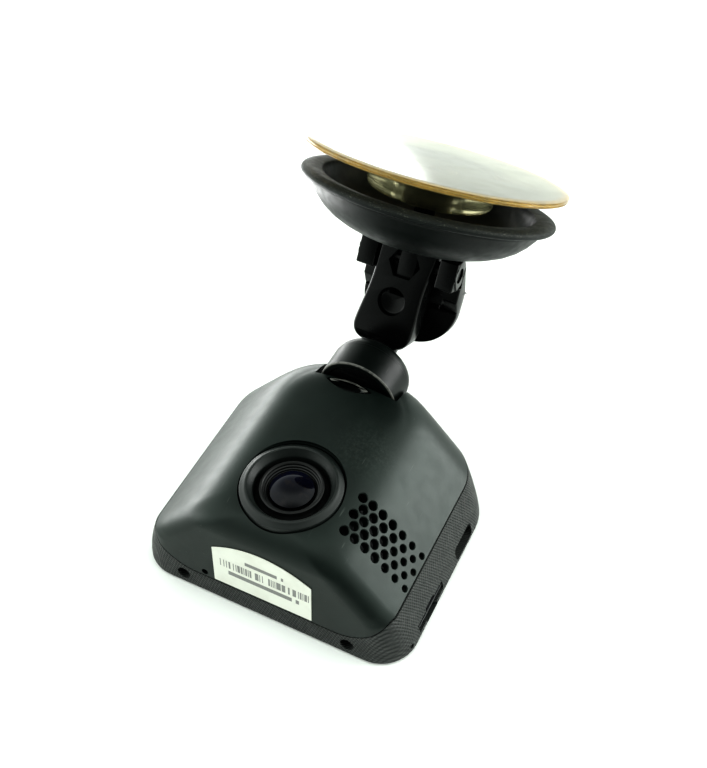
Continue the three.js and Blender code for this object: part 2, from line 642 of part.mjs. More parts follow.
function addInside() {
  piece(model, 'main_board', mainBoard(), boardGreen());
  piece(model, 'processor', box(-5, 1, 7.7, 6, 9, 9.1), chipBlack());
  piece(model, 'memory_chip', box(8.6, -1, 7.7, 15.2, 8, 8.9), chipBlack());
  piece(model, 'usb_port', usbPort(), steel());
  piece(model, 'card_slot', cardSlot(), steel());
  piece(model, 'memory_card', memoryCard(), finish(0x101214, 0.5));
  piece(model, 'battery', plate(roundedRect(-22.4, -12, -9, 8, 1, 2), 7.9, 12.3), finish(0x2d5d8c, 0.5));
  const { x, z, radius } = MICROPHONE;
  piece(model, 'microphone', rod('y', -22.6, -20.6, radius, [x, z], 16), steel());
  piece(model, 'board_screw_left', boardScrew(-21, -15.5), steel());
  piece(model, 'board_screw_right', boardScrew(21, -15.5), steel());
  const driver = piece(model, 'speaker', speaker(), chipBlack());
  driver.rotation.y = Math.atan(BODY.archSlope);
  driver.position.set(15.4, -10.8, 15.4);
}

function addSocket() {
  piece(model, 'release_catch', releaseCatch(), shellBlack());
  piece(model, 'socket_cap', socketCap(), glossBlack());
  piece(model, 'socket_base', socketBase(), mountBlack());
  piece(model, 'spring_washer', springWasher(), steel());
  piece(model, 'friction_pad', frictionPad(), finish(0x3a3c3e, 0.7));
}

function addMount() {
  const tilt = new THREE.Group();
  tilt.position.set(0, SOCKET.ballY, SOCKET.z);
  tilt.rotation.x = rad(MOUNT.tilt);
  const sway = new THREE.Group();
  sway.rotation.y = rad(MOUNT.sway);
  const cup = new THREE.Group();
  cup.position.y = MOUNT.offset;
  sway.add(cup);
  tilt.add(sway);
  model.add(tilt);
  const { pinZ, pinY, pinRadius, outer } = LEVER;
  piece(cup, 'joint_ball', jointBall(), mountBlack());
  piece(cup, 'mount_arm', mountArm(), mountBlack());
  piece(cup, 'suction_bowl', suctionBowl(), bowlBlack());
  piece(cup, 'lock_lever', lockLever(), mountBlack());
  piece(cup, 'lever_pin', rod('x', -outer + 0.4, outer - 0.4, pinRadius, [pinY, pinZ], 14), steel());
  piece(cup, 'pad_stud', padStud(), steel());
  piece(cup, 'suction_pad', suctionPad(), finish(0xe6d79a, 0.3, 0, { transparent: true, opacity: 0.55 }));
}

addShells();
addLens();
addScreen();
addButtons();
addInside();
addSocket();
addMount();

export default model;
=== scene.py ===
# Looks of a windscreen dash camera on a suction mount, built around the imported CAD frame.
# Shapes are worked out in millimetres and scaled to metres when a piece is finished.
# The camera lies on its back: -Z is the screen side, +Z the lens side, +Y the mount side.
import math

import bmesh
import bpy
from mathutils import Matrix, Vector


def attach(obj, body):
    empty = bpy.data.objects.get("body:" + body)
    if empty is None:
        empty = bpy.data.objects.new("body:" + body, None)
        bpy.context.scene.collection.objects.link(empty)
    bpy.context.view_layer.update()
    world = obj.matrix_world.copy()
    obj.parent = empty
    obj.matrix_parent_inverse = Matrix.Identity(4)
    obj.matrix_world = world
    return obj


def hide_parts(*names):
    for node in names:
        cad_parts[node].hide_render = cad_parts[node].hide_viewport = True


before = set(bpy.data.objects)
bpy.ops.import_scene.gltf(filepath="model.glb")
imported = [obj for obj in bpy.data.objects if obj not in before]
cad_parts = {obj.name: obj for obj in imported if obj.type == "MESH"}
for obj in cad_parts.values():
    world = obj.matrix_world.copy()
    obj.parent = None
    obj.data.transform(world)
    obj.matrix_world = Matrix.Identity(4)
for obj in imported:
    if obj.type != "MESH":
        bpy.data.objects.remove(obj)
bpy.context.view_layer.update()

# ---------- dimensions, in millimetres ----------
MM = 0.001
GAP = 0.3
WALL = 1.6
BODY = dict(half_width=30.75, side_lean=3.5, seam_side=12, bottom=-26.1, bottom_lean=0.09, top=23.5,
            crown=26.5, flat=0.06, crown_tilt=0.0023, arch_knee=13.7, arch_soft=2.3, arch_slope=1.07, brow=5,
            top_round_y=9, top_round_z=5.5, edge_round=0.8, corner_bottom=8, corner_bottom_high=4.5,
            corner_top=11)
SEAM = dict(bottom=5.6, side=11.95, top=13.2, gap=0.3, climb_start=16, climb_end=26.5, corner_y=-20)
LENS_Y = -10.9
LENS_HOLE = dict(radius=10.65, straight=26.2, mouth=10.8, mouth_start=26.45)
SOCKET = dict(z=24.1, ball_y=25.2, radius=8.8, bore=7.5, start=17.6, ball=5.2, mouth=2.4)
DOCK = dict(channel=9.5, cradle=10.7, wall=1.4, tongue_half=3.2, tongue_low=17.6, tongue_high=19.8)
CATCH = dict(x=-1, low_y=23.85, low_r=9.15, high_y=6.5, high_r=10.6, low=24.2, top=26.9, ridge=28.2,
             flange=5.9)
MOUNT = dict(tilt=-29.7, sway=1.5, offset=7.1)
ARM = dict(low=3.5, top=27.9, half_top=6.4, half_low=6.8, waist=0.5, lean=0.085, depth=3, hex=3.75,
           hex_z=23.4, recess=3.3, recess_z=14.6)
BOWL = dict(rim=39.4, floor=28.3, radius=27.25, inner=22.7, lip=2)
PAD = dict(low=43.9, high=45.6, radius=28, boss=13.6, boss_low=37.6)
LEVER = dict(pin_z=24, pin_y=0.2, pin=1.4, cheek=3.4, inner=7.1, outer=11.2, end=4.6, front=6.2, back=8.7,
             block_front=-3.2, block_low=20.6, block_high=27, corner=9.4, bridge=3.5)
WINDOW = dict(x=-3, y=3.25, width=41, height=31.5, thick=1.2)
CARD = dict(y=-10.5, z=2.5, thick=0.9, width=11)
NOTCH = dict(x=31.9, low=0.6, high=4.5, radius=2.8)
USB = dict(y=6.5, z=3.25, width=7.5, height=2.7)
SCALLOP = dict(y=2, depth=0.68, radius=14)
GRILLE = dict(rows=5, columns=13, pitch_x=1.067, pitch_y=2.02, start_x=13.4, start_y=-6.7, hole=0.98,
              shrink=0.33, sink=0.16)
LABEL = dict(half=11.1, low=6.3, peak=19.8, fall=3.2, thick=0.12)
MICROPHONE = dict(x=-13.5, z=6.9, hole=0.75)
SCREW = dict(x=18.9, y=-23.9, z=3.2, hole=1.5, head=1.2, rise=0.9, shank=0.7, length=6, slot=0.16)
LIGHT_HOLE = dict(x=24.5, y=16, radius=0.9)
SIDE_HOLE = dict(y=-19.8, z=1.9, radius=0.55)
POWER = dict(y=6, z=6.2, width=7, height=2.6)
BUTTONS = {"menu": -13.2, "down": -4.4, "up": 4.4, "record": 13.2}
KEY = dict(half=3.7, low=-21.1, high=-17.5, corner=1.4, hole_corner=1.6, face=0.5, top=2.2)


# ---------- mesh helpers ----------
def new_object(name, data):
    obj = bpy.data.objects.new(name, data)
    bpy.context.scene.collection.objects.link(obj)
    return obj


def mesh_object(name, points, faces):
    mesh = bpy.data.meshes.new(name)
    mesh.from_pydata([tuple(p) for p in points], [], faces)
    mesh.validate()
    return new_object(name, mesh)


def applied(obj):
    """Puts the object's modifiers into its mesh."""
    depsgraph = bpy.context.evaluated_depsgraph_get()
    mesh = bpy.data.meshes.new_from_object(obj.evaluated_get(depsgraph))
    obj.modifiers.clear()
    obj.data = mesh
    return obj


def combine(target, others, operation):
    for other in others:
        modifier = target.modifiers.new("combine", "BOOLEAN")
        modifier.solver = "MANIFOLD"
        modifier.operation = operation
        modifier.object = other
        applied(target)
        bpy.data.objects.remove(other)
    return target


def cut(target, *others):
    return combine(target, others, "DIFFERENCE")


def join(target, *others):
    return combine(target, others, "UNION")


def common(target, *others):
    return combine(target, others, "INTERSECT")


def duplicate(obj):
    return new_object(obj.name + "_copy", obj.data.copy())


def moved(obj, matrix):
    obj.data.transform(matrix)
    return obj


def softened(obj, width, segments=3, angle=32):
    """Rounds the edges that are sharper than an angle."""
    modifier = obj.modifiers.new("round", "BEVEL")
    modifier.width = width
    modifier.segments = segments
    modifier.limit_method = "ANGLE"
    modifier.angle_limit = math.radians(angle)
    modifier.use_clamp_overlap = False
    return applied(obj)


def arc(cx, cy, radius, start, end, steps):
    points = []
    for i in range(steps + 1):
        angle = math.radians(start + (end - start) * i / steps)
        points.append((cx + radius * math.cos(angle), cy + radius * math.sin(angle)))
    return points


def round_rect(x0, y0, x1, y1, r, steps=8):
    return [*arc(x1 - r, y0 + r, r, -90, 0, steps), *arc(x1 - r, y1 - r, r, 0, 90, steps),
            *arc(x0 + r, y1 - r, r, 90, 180, steps), *arc(x0 + r, y0 + r, r, 180, 270, steps)]


def lofted(rings):
    """A closed skin over rings of points, each anticlockwise and with the same count."""
    count = len(rings[0])
    top = (len(rings) - 1) * count
    faces = [tuple(reversed(range(count))), tuple(range(top, top + count))]
    for base in range(0, top, count):
        for i in range(count):
            a = base + i
            b = base + (i + 1) % count
            faces.append((a, b, b + count, a + count))
    return mesh_object("lofted", [p for ring in rings for p in ring], faces)


def plate(outline, z0, z1):
    """A flat outline, anticlockwise, between two heights."""
    return lofted([[(x, y, z) for x, y in outline] for z in (z0, z1)])


def side_plate(outline, x0, x1):
    """An outline of (y, z) points between two places along X."""
    on_side = Matrix(((0, 0, 1, 0), (1, 0, 0, 0), (0, 1, 0, 0), (0, 0, 0, 1)))
    return moved(plate(outline, x0, x1), on_side)


def box(x0, y0, z0, x1, y1, z1):
    return plate([(x0, y0), (x1, y0), (x1, y1), (x0, y1)], z0, z1)


def turned(profile, sides=96):
    """A turned piece about Z, from (radius, height) points; the profile is closed."""
    points = []
    faces = []
    rows = []
    for radius, height in profile:
        if radius < 1e-6:
            rows.append([len(points)] * sides)
            points.append((0, 0, height))
            continue
        rows.append(list(range(len(points), len(points) + sides)))
        for i in range(sides):
            angle = 2 * math.pi * i / sides
            points.append((radius * math.cos(angle), radius * math.sin(angle), height))
    closed = profile[0][0] > 1e-6
    pairs = list(zip(rows, rows[1:])) + ([(rows[-1], rows[0])] if closed else [])
    for a, b in pairs:
        for i in range(sides):
            j = (i + 1) % sides
            corner = []
            for index in (a[i], a[j], b[j], b[i]):
                if index not in corner:
                    corner.append(index)
            if len(corner) > 2:
                faces.append(tuple(corner))
    return mesh_object("turned", points, faces)


def ball_shape(radius, sides=64, steps=32):
    end = 90 - 180 / steps
    return turned([(0, -radius), *arc(0, 0, radius, -end, end, steps - 2), (0, radius)], sides)


# Stands an outline of the XY plane up in the XZ plane, its thickness towards -Y.
UPRIGHT = Matrix.Rotation(math.radians(90), 4, "X")
AXES = {
    "x": Matrix.Rotation(math.radians(90), 4, "Y"),
    "y": Matrix.Rotation(math.radians(-90), 4, "X"),
    "z": Matrix.Identity(4),
}


def rod(axis, a, b, radius, centre, sides=48):
    """A cylinder along an axis, with its centre on the two other axes."""
    obj = turned([(0, a), (radius, a), (radius, b), (0, b)], sides)
    first, second = centre
    place = {"x": (0, first, second), "y": (first, 0, second), "z": (first, second, 0)}[axis]
    return moved(obj, Matrix.Translation(place) @ AXES[axis])


def turned_y(profile, z, sides):
    return moved(turned(profile, sides), Matrix.Translation((0, 0, z)) @ AXES["y"])


def finished(obj, name, body, paint, node, angle=34):
    """Scales a piece to metres, shades it and puts it on its body in place of its CAD node."""
    obj.name = name
    obj.data.name = name
    obj.data.transform(Matrix.Scale(MM, 4))
    shape = bmesh.new()
    shape.from_mesh(obj.data)
    bmesh.ops.recalc_face_normals(shape, faces=shape.faces)
    shape.to_mesh(obj.data)
    shape.free()
    obj.data.shade_smooth()
    obj.data.set_sharp_from_angle(angle=math.radians(angle))
    obj.data.materials.clear()
    obj.data.materials.append(paint.material)
    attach(obj, body)
    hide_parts(node)


# ---------- materials ----------
def set_range(node, low, high, to_low, to_high):
    """Makes a Map Range node a smooth step between two values."""
    node.interpolation_type = "SMOOTHSTEP"
    for key, end in (("From Min", low), ("From Max", high), ("To Min", to_low), ("To Max", to_high)):
        node.inputs[key].default_value = end


class Paint:
    """A node material around one Principled shader; lengths in its textures are in millimetres."""

    def __init__(self, name, color, roughness, **sockets):
        self.material = bpy.data.materials.new(name)
        self.material.use_nodes = True
        self.tree = self.material.node_tree
        self.tree.nodes.clear()
        self.shader = self.node("ShaderNodeBsdfPrincipled")
        self.output = self.node("ShaderNodeOutputMaterial")
        self.tree.links.new(self.shader.outputs[0], self.output.inputs["Surface"])
        self.shader.inputs["Base Color"].default_value = (*color, 1)
        self.shader.inputs["Roughness"].default_value = roughness
        for key, value in sockets.items():
            self.shader.inputs[key.replace("_", " ")].default_value = value
        self.where = self.node("ShaderNodeTexCoord").outputs["Object"]

    def node(self, kind, **settings):
        node = self.tree.nodes.new(kind)
        for key, value in settings.items():
            setattr(node, key, value)
        return node

    def put(self, socket, value):
        if hasattr(value, "links"):
            self.tree.links.new(value, socket)
        else:
            socket.default_value = value

    def math(self, operation, a, b=0.0):
        node = self.node("ShaderNodeMath", operation=operation)
        self.put(node.inputs[0], a)
        self.put(node.inputs[1], b)
        return node.outputs[0]

    def times(self, a, b):
        return self.math("MULTIPLY", a, b)

    def stretched(self, x=1.0, y=1.0, z=1.0, turn=(0, 0, 0)):
        node = self.node("ShaderNodeMapping")
        self.put(node.inputs["Vector"], self.where)
        node.inputs["Rotation"].default_value = [math.radians(t) for t in turn]
        node.inputs["Scale"].default_value = (x, y, z)
        return node.outputs[0]

    def noise(self, size, detail=2.0, rough=0.5, where=None):
        node = self.node("ShaderNodeTexNoise")
        self.put(node.inputs["Vector"], where or self.where)
        node.inputs["Scale"].default_value = 1 / (size * MM)
        node.inputs["Detail"].default_value = detail
        node.inputs["Roughness"].default_value = rough
        return node.outputs["Fac"]

    def cells(self, size, feature="F1"):
        node = self.node("ShaderNodeTexVoronoi", feature=feature)
        self.put(node.inputs["Vector"], self.where)
        node.inputs["Scale"].default_value = 1 / (size * MM)
        return node.outputs["Distance"]

    def step(self, value, low, high, to_low=0.0, to_high=1.0):
        node = self.node("ShaderNodeMapRange")
        self.put(node.inputs["Value"], value)
        set_range(node, low, high, to_low, to_high)
        return node.outputs["Result"]

    def blend(self, amount, first, second):
        node = self.node("ShaderNodeMix", data_type="RGBA")
        self.put(node.inputs["Factor"], amount)
        for socket, color in ((node.inputs["A"], first), (node.inputs["B"], second)):
            self.put(socket, (*color, 1) if isinstance(color, tuple) else color)
        return node.outputs["Result"]

    def marked(self, name):
        """The value that mark() stored on the piece, 0 where it has none."""
        return self.node("ShaderNodeAttribute", attribute_name=name).outputs["Fac"]

    def place(self):
        node = self.node("ShaderNodeSeparateXYZ")
        self.put(node.inputs[0], self.where)
        return node.outputs

    def color(self, value):
        self.put(self.shader.inputs["Base Color"], value)

    def rough(self, value):
        self.put(self.shader.inputs["Roughness"], value)

    def bump(self, height, depth, strength=1.0):
        node = self.node("ShaderNodeBump")
        self.put(node.inputs["Height"], height)
        node.inputs["Distance"].default_value = depth * MM
        node.inputs["Strength"].default_value = strength
        self.put(self.shader.inputs["Normal"], node.outputs[0])


def worn_plastic(name, color, light, roughness, grain=0.16, depth=0.012, dust=0.5, scratch=0.4, film=None,
                 **sockets):
    """Moulded plastic: fine grain, slow colour change, dust specks, short scratches, and marked edges painted
    in the light colour, as wear and as a painted highlight.

    film is a smudged round patch: x, y, radius and amount.
    """
    paint = Paint(name, color, roughness, **sockets)
    slow = paint.noise(9, 3)
    tone = paint.step(slow, 0.35, 0.7)
    specks = paint.step(paint.noise(0.55, 4, 0.75), 0.66, 0.78, 0, dust)
    patches = paint.step(paint.noise(5, 2), 0.5, 0.72)
    specks = paint.times(specks, patches)
    lines = paint.noise(0.5, 1, 0.4, paint.stretched(1, 0.06, 1, (0, 0, 37)))
    scratches = paint.times(paint.step(lines, 0.7, 0.76, 0, scratch), patches)
    wear_and_highlight = paint.math("MAXIMUM", specks, scratches)
    uneven = paint.step(paint.noise(0.9, 4), 0.3, 0.6, 0.4, 1)
    # Marked edges get the light colour: wear, and a painted highlight along the catch's thumb ridge and the
    # cap's front edge.
    wear_and_highlight = paint.math("MAXIMUM", wear_and_highlight, paint.times(paint.marked("edge"), uneven))
    if film:
        centre_x, centre_y, radius, amount = film
        x, y, _ = paint.place()
        dx = paint.math("SUBTRACT", x, centre_x * MM)
        dy = paint.math("SUBTRACT", y, centre_y * MM)
        away = paint.math("ADD", paint.times(dx, dx), paint.times(dy, dy))
        near = paint.step(paint.math("SQRT", away), 2 * MM, radius * MM, 1, 0)
        smudge = paint.step(paint.noise(0.7, 6, 0.8), 0.36, 0.85, 0, amount)
        wear_and_highlight = paint.math("MAXIMUM", wear_and_highlight, paint.times(smudge, near))
    toned = paint.blend(tone, color, tuple(c * 1.35 for c in color))
    paint.color(paint.blend(wear_and_highlight, toned, light))
    rough = paint.step(paint.noise(3, 4), 0.3, 0.75, roughness - 0.02, roughness + 0.035)
    paint.rough(paint.math("ADD", rough, paint.times(wear_and_highlight, 0.2)))
    paint.bump(paint.noise(grain, 2), depth, 0.6)
    return paint


def band_plastic():
    """The rear shell: a fine slanting weave moulded on its walls, plain on its flat back."""
    paint = Paint("rear_case", (0.008, 0.01, 0.0095), 0.42, Specular_IOR_Level=0.4)
    x, y, z = paint.place()
    pitch = 0.62 * MM
    along = paint.math("SUBTRACT", x, y)

    def wave(across, up):
        sideways = paint.times(along, across / pitch)
        turn = paint.math("ADD", sideways, paint.times(z, up / pitch))
        return paint.math("SINE", paint.times(turn, 2 * math.pi))

    lines = wave(0.967, -0.257)
    crossing = wave(0.62, 0.78)
    weave = paint.math("ADD", paint.times(lines, 0.72), paint.times(crossing, 0.28))
    walls = paint.step(z, 0.5 * MM, 0.9 * MM)
    height = paint.times(weave, walls)
    fine = paint.times(paint.noise(0.1, 2), 0.4)
    patches = paint.step(paint.noise(6, 3), 0.2, 0.6, 0.5, 1)
    worn = paint.times(paint.step(weave, -0.1, 0.8), patches)
    worn = paint.times(worn, walls)
    slow = paint.step(paint.noise(7, 3), 0.3, 0.7)
    base = paint.blend(slow, (0.006, 0.008, 0.0075), (0.011, 0.014, 0.013))
    paint.color(paint.blend(worn, base, (0.032, 0.036, 0.033)))
    paint.rough(paint.step(paint.noise(2, 3), 0.3, 0.7, 0.36, 0.5))
    paint.bump(paint.math("ADD", height, fine), 0.09, 1.0)
    return paint


def label_paper():
    """Off-white sticker with a barcode-like strip and rows of plain dashes."""
    paper = (0.72, 0.735, 0.665)
    ink = (0.13, 0.13, 0.13)
    paint = Paint("label", paper, 0.45)
    x, _, z = paint.place()
    across = paint.math("DIVIDE", x, MM)
    up = paint.math("DIVIDE", z, MM)

    def between(value, low, high):
        above = paint.math("GREATER_THAN", value, low)
        return paint.times(above, paint.math("LESS_THAN", value, high))

    def pattern(width, share, seed):
        cell = paint.math("FLOOR", paint.math("DIVIDE", across, width))
        noise = paint.node("ShaderNodeTexWhiteNoise", noise_dimensions="1D")
        paint.put(noise.inputs["W"], paint.math("ADD", cell, seed))
        return paint.math("LESS_THAN", noise.outputs["Value"], share)

    def row(low, high, left, right, dashes):
        area = paint.times(between(up, low, high), between(across, left, right))
        return paint.times(area, dashes)

    bars = row(11.9, 14.1, -9.5, 10.6, pattern(0.2, 0.5, 3.0))
    title = row(15.1, 16.1, -3.6, 5, pattern(0.9, 0.8, 11.0))
    serial = row(9.9, 11.1, -7.6, 8.4, pattern(0.85, 0.85, 29.0))
    marks = paint.math("MAXIMUM", bars, paint.math("MAXIMUM", title, serial))
    marks = paint.times(marks, 0.85)
    aged = paint.blend(paint.step(paint.noise(4, 3), 0.4, 0.7), paper, (0.67, 0.68, 0.61))
    paint.color(paint.blend(marks, aged, ink))
    paint.rough(paint.step(paint.noise(1, 2), 0.3, 0.7, 0.4, 0.52))
    paint.bump(paint.noise(0.2, 3), 0.006, 0.4)
    return paint


def dusty_rim():
    """The bowl: satin plastic whose rim carries a thin grey film and pale specks of dust."""
    paint = Paint("bowl_plastic", (0.006, 0.008, 0.0075), 0.4, Specular_IOR_Level=0.22)
    slow = paint.step(paint.noise(10, 3), 0.35, 0.7)
    base = paint.blend(slow, (0.005, 0.0068, 0.0063), (0.009, 0.0117, 0.011))
    dust = paint.step(paint.noise(0.3, 5, 0.8), 0.54, 0.7, 0, 0.8)
    haze = paint.step(paint.noise(3.5, 3), 0.35, 0.7, 0.25, 1)
    flat = paint.marked("rim")
    dust = paint.times(paint.times(dust, haze), flat)
    film = paint.times(flat, 0.3)
    filmed = paint.blend(film, base, (0.036, 0.039, 0.035))
    paint.color(paint.blend(dust, filmed, (0.3, 0.31, 0.25)))
    rough = paint.step(paint.noise(2, 3), 0.3, 0.7, 0.36, 0.48)
    paint.rough(paint.math("ADD", rough, paint.times(flat, 0.2)))
    paint.bump(paint.noise(0.2, 3), 0.01, 0.5)
    return paint


def soft_urethane():
    """The suction pad: clear urethane with a yellow cast, amber along its outer edge."""
    paint = Paint("pad_tpu", (0.24, 0.23, 0.16), 0.15, IOR=1.47, Specular_IOR_Level=0.2,
                  Transmission_Weight=0.75)
    slow = paint.step(paint.noise(8, 3), 0.35, 0.7)
    clear = paint.blend(slow, (0.27, 0.262, 0.18), (0.21, 0.205, 0.135))
    layer = paint.times(paint.marked("edge"), paint.step(paint.noise(2, 3), 0.25, 0.6, 0.55, 1))
    paint.color(paint.blend(layer, clear, (0.8, 0.56, 0.2)))
    paint.rough(paint.step(paint.noise(5, 2), 0.3, 0.7, 0.11, 0.17))
    paint.bump(paint.noise(5, 1), 0.01, 0.2)
    depth = paint.node("ShaderNodeVolumeAbsorption")
    depth.inputs["Color"].default_value = (0.92, 0.92, 0.9, 1)
    depth.inputs["Density"].default_value = 120
    paint.tree.links.new(depth.outputs[0], paint.output.inputs["Volume"])
    return paint


def simple(name, color, roughness, size=0.4, depth=0.01, **sockets):
    """A plain finish with slow tone change, fine grain and uneven gloss."""
    paint = Paint(name, color, roughness, **sockets)
    tone = paint.step(paint.noise(4, 3), 0.3, 0.7)
    paint.color(paint.blend(tone, tuple(c * 0.85 for c in color), tuple(min(1, c * 1.2) for c in color)))
    paint.rough(paint.step(paint.noise(1.5, 3), 0.3, 0.7, max(0.02, roughness - 0.05), roughness + 0.06))
    paint.bump(paint.noise(size, 2), depth, 0.5)
    return paint


def brushed(name, color, roughness):
    """Metal with fine brushing along X."""
    paint = Paint(name, color, roughness, Metallic=1.0)
    lines = paint.noise(0.08, 2, 0.5, paint.stretched(0.05, 1, 1))
    paint.color(paint.blend(lines, tuple(c * 0.8 for c in color), color))
    paint.rough(paint.step(lines, 0.3, 0.7, roughness - 0.06, roughness + 0.1))
    paint.bump(lines, 0.004, 0.4)
    return paint


def board_resist():
    """Green circuit board with paler tracks and pads."""
    paint = Paint("circuit_board", (0.02, 0.13, 0.05), 0.4)
    tracks = paint.step(paint.cells(2.2, "DISTANCE_TO_EDGE"), 0.03, 0.06, 1, 0)
    pads = paint.step(paint.cells(1.4), 0.12, 0.16, 1, 0)
    base = paint.blend(tracks, (0.015, 0.1, 0.04), (0.03, 0.19, 0.08))
    paint.color(paint.blend(pads, base, (0.6, 0.58, 0.5)))
    paint.bump(tracks, 0.03, 0.6)
    return paint


def lens_glass():
    """Front element: almost black coated glass, with a faint blue reflection painted into its colour where it
    is seen at a glancing angle, towards its rim.
    """
    paint = Paint("lens_glass", (0.002, 0.002, 0.003), 0.04, IOR=1.5, Specular_IOR_Level=0.2,
                  Coat_Weight=0.08, Coat_Roughness=0.03, Coat_Tint=(0.5, 0.6, 1, 1))
    # Painted reflection: the colour turns blue where the glass is seen at a glancing angle.
    facing = paint.node("ShaderNodeLayerWeight")
    facing.inputs["Blend"].default_value = 0.3
    painted_blue_reflection = paint.blend(facing.outputs["Facing"], (0.002, 0.002, 0.003), (0.006, 0.008, 0.03))
    smear = paint.step(paint.noise(1.4, 3), 0.5, 0.75)
    paint.color(paint.blend(smear, painted_blue_reflection, (0.009, 0.007, 0.008)))
    paint.rough(paint.step(paint.noise(1, 3), 0.4, 0.8, 0.03, 0.09))
    return paint


front_paint = worn_plastic("front_case", (0.0055, 0.009, 0.0078), (0.085, 0.095, 0.088), 0.36,
                           dust=0.5, scratch=0.55, film=(9, 3, 9, 0.3),
                           Specular_IOR_Level=0.34, Specular_Tint=(0.9, 1, 0.95, 1))
mount_paint = worn_plastic("mount_plastic", (0.0025, 0.003, 0.003), (0.05, 0.05, 0.045), 0.24,
                           grain=0.3, depth=0.004, dust=0.12, scratch=0.1, Specular_IOR_Level=0.2)
# Its light colour also paints a highlight along the cap's front edge.
cap_paint = worn_plastic("socket_plastic", (0.0035, 0.0055, 0.0048), (0.14, 0.14, 0.13), 0.36,
                         grain=0.2, depth=0.005, dust=0.2, scratch=0.15, Specular_IOR_Level=0.22)
# Its light colour also paints a highlight along the thumb ridge.
catch_paint = worn_plastic("catch_plastic", (0.006, 0.008, 0.0075), (0.12, 0.12, 0.11), 0.3,
                           dust=0.5, scratch=0.4, Specular_IOR_Level=0.5)
band_paint = band_plastic()
bowl_paint = dusty_rim()
pad_paint = soft_urethane()
label_paint = label_paper()
trim_paint = worn_plastic("lens_trim", (0.009, 0.012, 0.011), (0.06, 0.065, 0.06), 0.4,
                          grain=0.12, depth=0.005, dust=0.3, scratch=0.2, Specular_IOR_Level=0.4)
barrel_paint = simple("lens_barrel_black", (0.004, 0.0045, 0.0045), 0.42, Specular_IOR_Level=0.4)
glass_paint = lens_glass()
screen_paint = simple("screen_glass", (0.006, 0.007, 0.008), 0.07, 3, 0.002,
                      Coat_Weight=0.6, Coat_Roughness=0.03)
steel_paint = brushed("screw_steel", (0.32, 0.32, 0.31), 0.34)
pin_paint = brushed("blackened_steel", (0.05, 0.05, 0.05), 0.42)
tin_paint = brushed("connector_metal", (0.4, 0.4, 0.39), 0.34)
button_paint = simple("button", (0.012, 0.014, 0.014), 0.45, 0.15, 0.01)
board_paint = board_resist()
chip_paint = simple("chip", (0.016, 0.016, 0.017), 0.5, 0.1, 0.01)
card_paint = simple("card", (0.012, 0.013, 0.015), 0.42, 0.15, 0.008)
cell_paint = simple("cell", (0.05, 0.16, 0.34), 0.35)
panel_paint = brushed("panel_metal", (0.55, 0.56, 0.58), 0.35)
light_paint = simple("light_pipe", (0.75, 0.85, 0.78), 0.2, 0.5, 0.004, Transmission_Weight=0.5)
liner_paint = simple("liner", (0.05, 0.052, 0.055), 0.6, 0.3, 0.02)


# ---------- the body's outer form ----------
def half_width(z):
    if z <= BODY["seam_side"]:
        return BODY["half_width"] - BODY["side_lean"] * (z / BODY["seam_side"]) ** 1.4
    fall = (BODY["crown"] - z) / (BODY["arch_slope"] * BODY["arch_soft"])
    return BODY["arch_knee"] + BODY["arch_soft"] * math.log(math.exp(fall) - 1)


def arch_height(x):
    """Height of the front at a distance from the middle."""
    soft = BODY["arch_soft"]
    return BODY["crown"] - BODY["arch_slope"] * soft * math.log(1 + math.exp((x - BODY["arch_knee"]) / soft))


def tilted(y):
    """How the front rises along Y, as a factor of its height."""
    return 1 + BODY["crown_tilt"] * (y - LENS_Y)


def outline_at(z, inset):
    edge = 0
    if z < BODY["edge_round"]:
        edge = BODY["edge_round"] - math.sqrt(BODY["edge_round"] ** 2 - (BODY["edge_round"] - z) ** 2)
    brow = BODY["brow"]
    rise = max(0, z - (BODY["crown"] - brow)) / brow
    low = BODY["bottom"] + BODY["bottom_lean"] * z + brow * (1 - math.sqrt(1 - rise * rise)) + inset + edge
    rise = max(0, z - (BODY["crown"] - BODY["top_round_z"])) / BODY["top_round_z"]
    high = BODY["top"] - BODY["top_round_y"] * (1 - math.sqrt(1 - rise * rise)) - inset - edge
    w = half_width(z) - inset - edge
    ease = min(1, z / 14)
    r_low = min(w * 0.6, BODY["corner_bottom"] + (BODY["corner_bottom_high"] - BODY["corner_bottom"]) * ease)
    r_high = min(w * 0.8, BODY["corner_top"])

    def line(x0, y0, x1, y1, steps):
        return [(x0 + (x1 - x0) * i / steps, y0 + (y1 - y0) * i / steps) for i in range(1, steps)]

    return [
        *line(-w + r_low, low, w - r_low, low, 24),
        *arc(w - r_low, low + r_low, r_low, -90, 0, 12),
        *line(w, low + r_low, w, high - r_high, 16),
        *arc(w - r_high, high - r_high, r_high, 0, 90, 14),
        *line(w - r_high, high, -w + r_high, high, 16),
        *arc(-w + r_high, high - r_high, r_high, 90, 180, 14),
        *line(-w, high - r_high, -w, low + r_low, 16),
        *arc(-w + r_low, low + r_low, r_low, 180, 270, 12),
    ]


def body_form(inset):
    crown = BODY["crown"] - BODY["flat"]
    edge = BODY["edge_round"]
    heights = [edge * (1 - math.cos(math.radians(15 * i))) for i in range(7)]
    heights += [edge + (BODY["seam_side"] - edge) * i / 14 for i in range(1, 15)]
    places = [27.0 - 0.4 * i for i in range(52)]
    heights += [arch_height(x) for x in places if arch_height(x) < crown - 0.002]
    heights.append(crown)
    rings = []
    for z in heights:
        squeezed = inset + z * (crown - 2 * inset) / crown
        rings.append([(x, y, squeezed * tilted(y)) for x, y in outline_at(z, inset)])
    return lofted(rings)


def seam_height(x):
    """The seam on the bottom wall, which climbs towards the corners."""
    t = min(1, max(0, (abs(x) - SEAM["climb_start"]) / (SEAM["climb_end"] - SEAM["climb_start"])))
    return SEAM["bottom"] + (SEAM["side"] - SEAM["bottom"]) * t * t


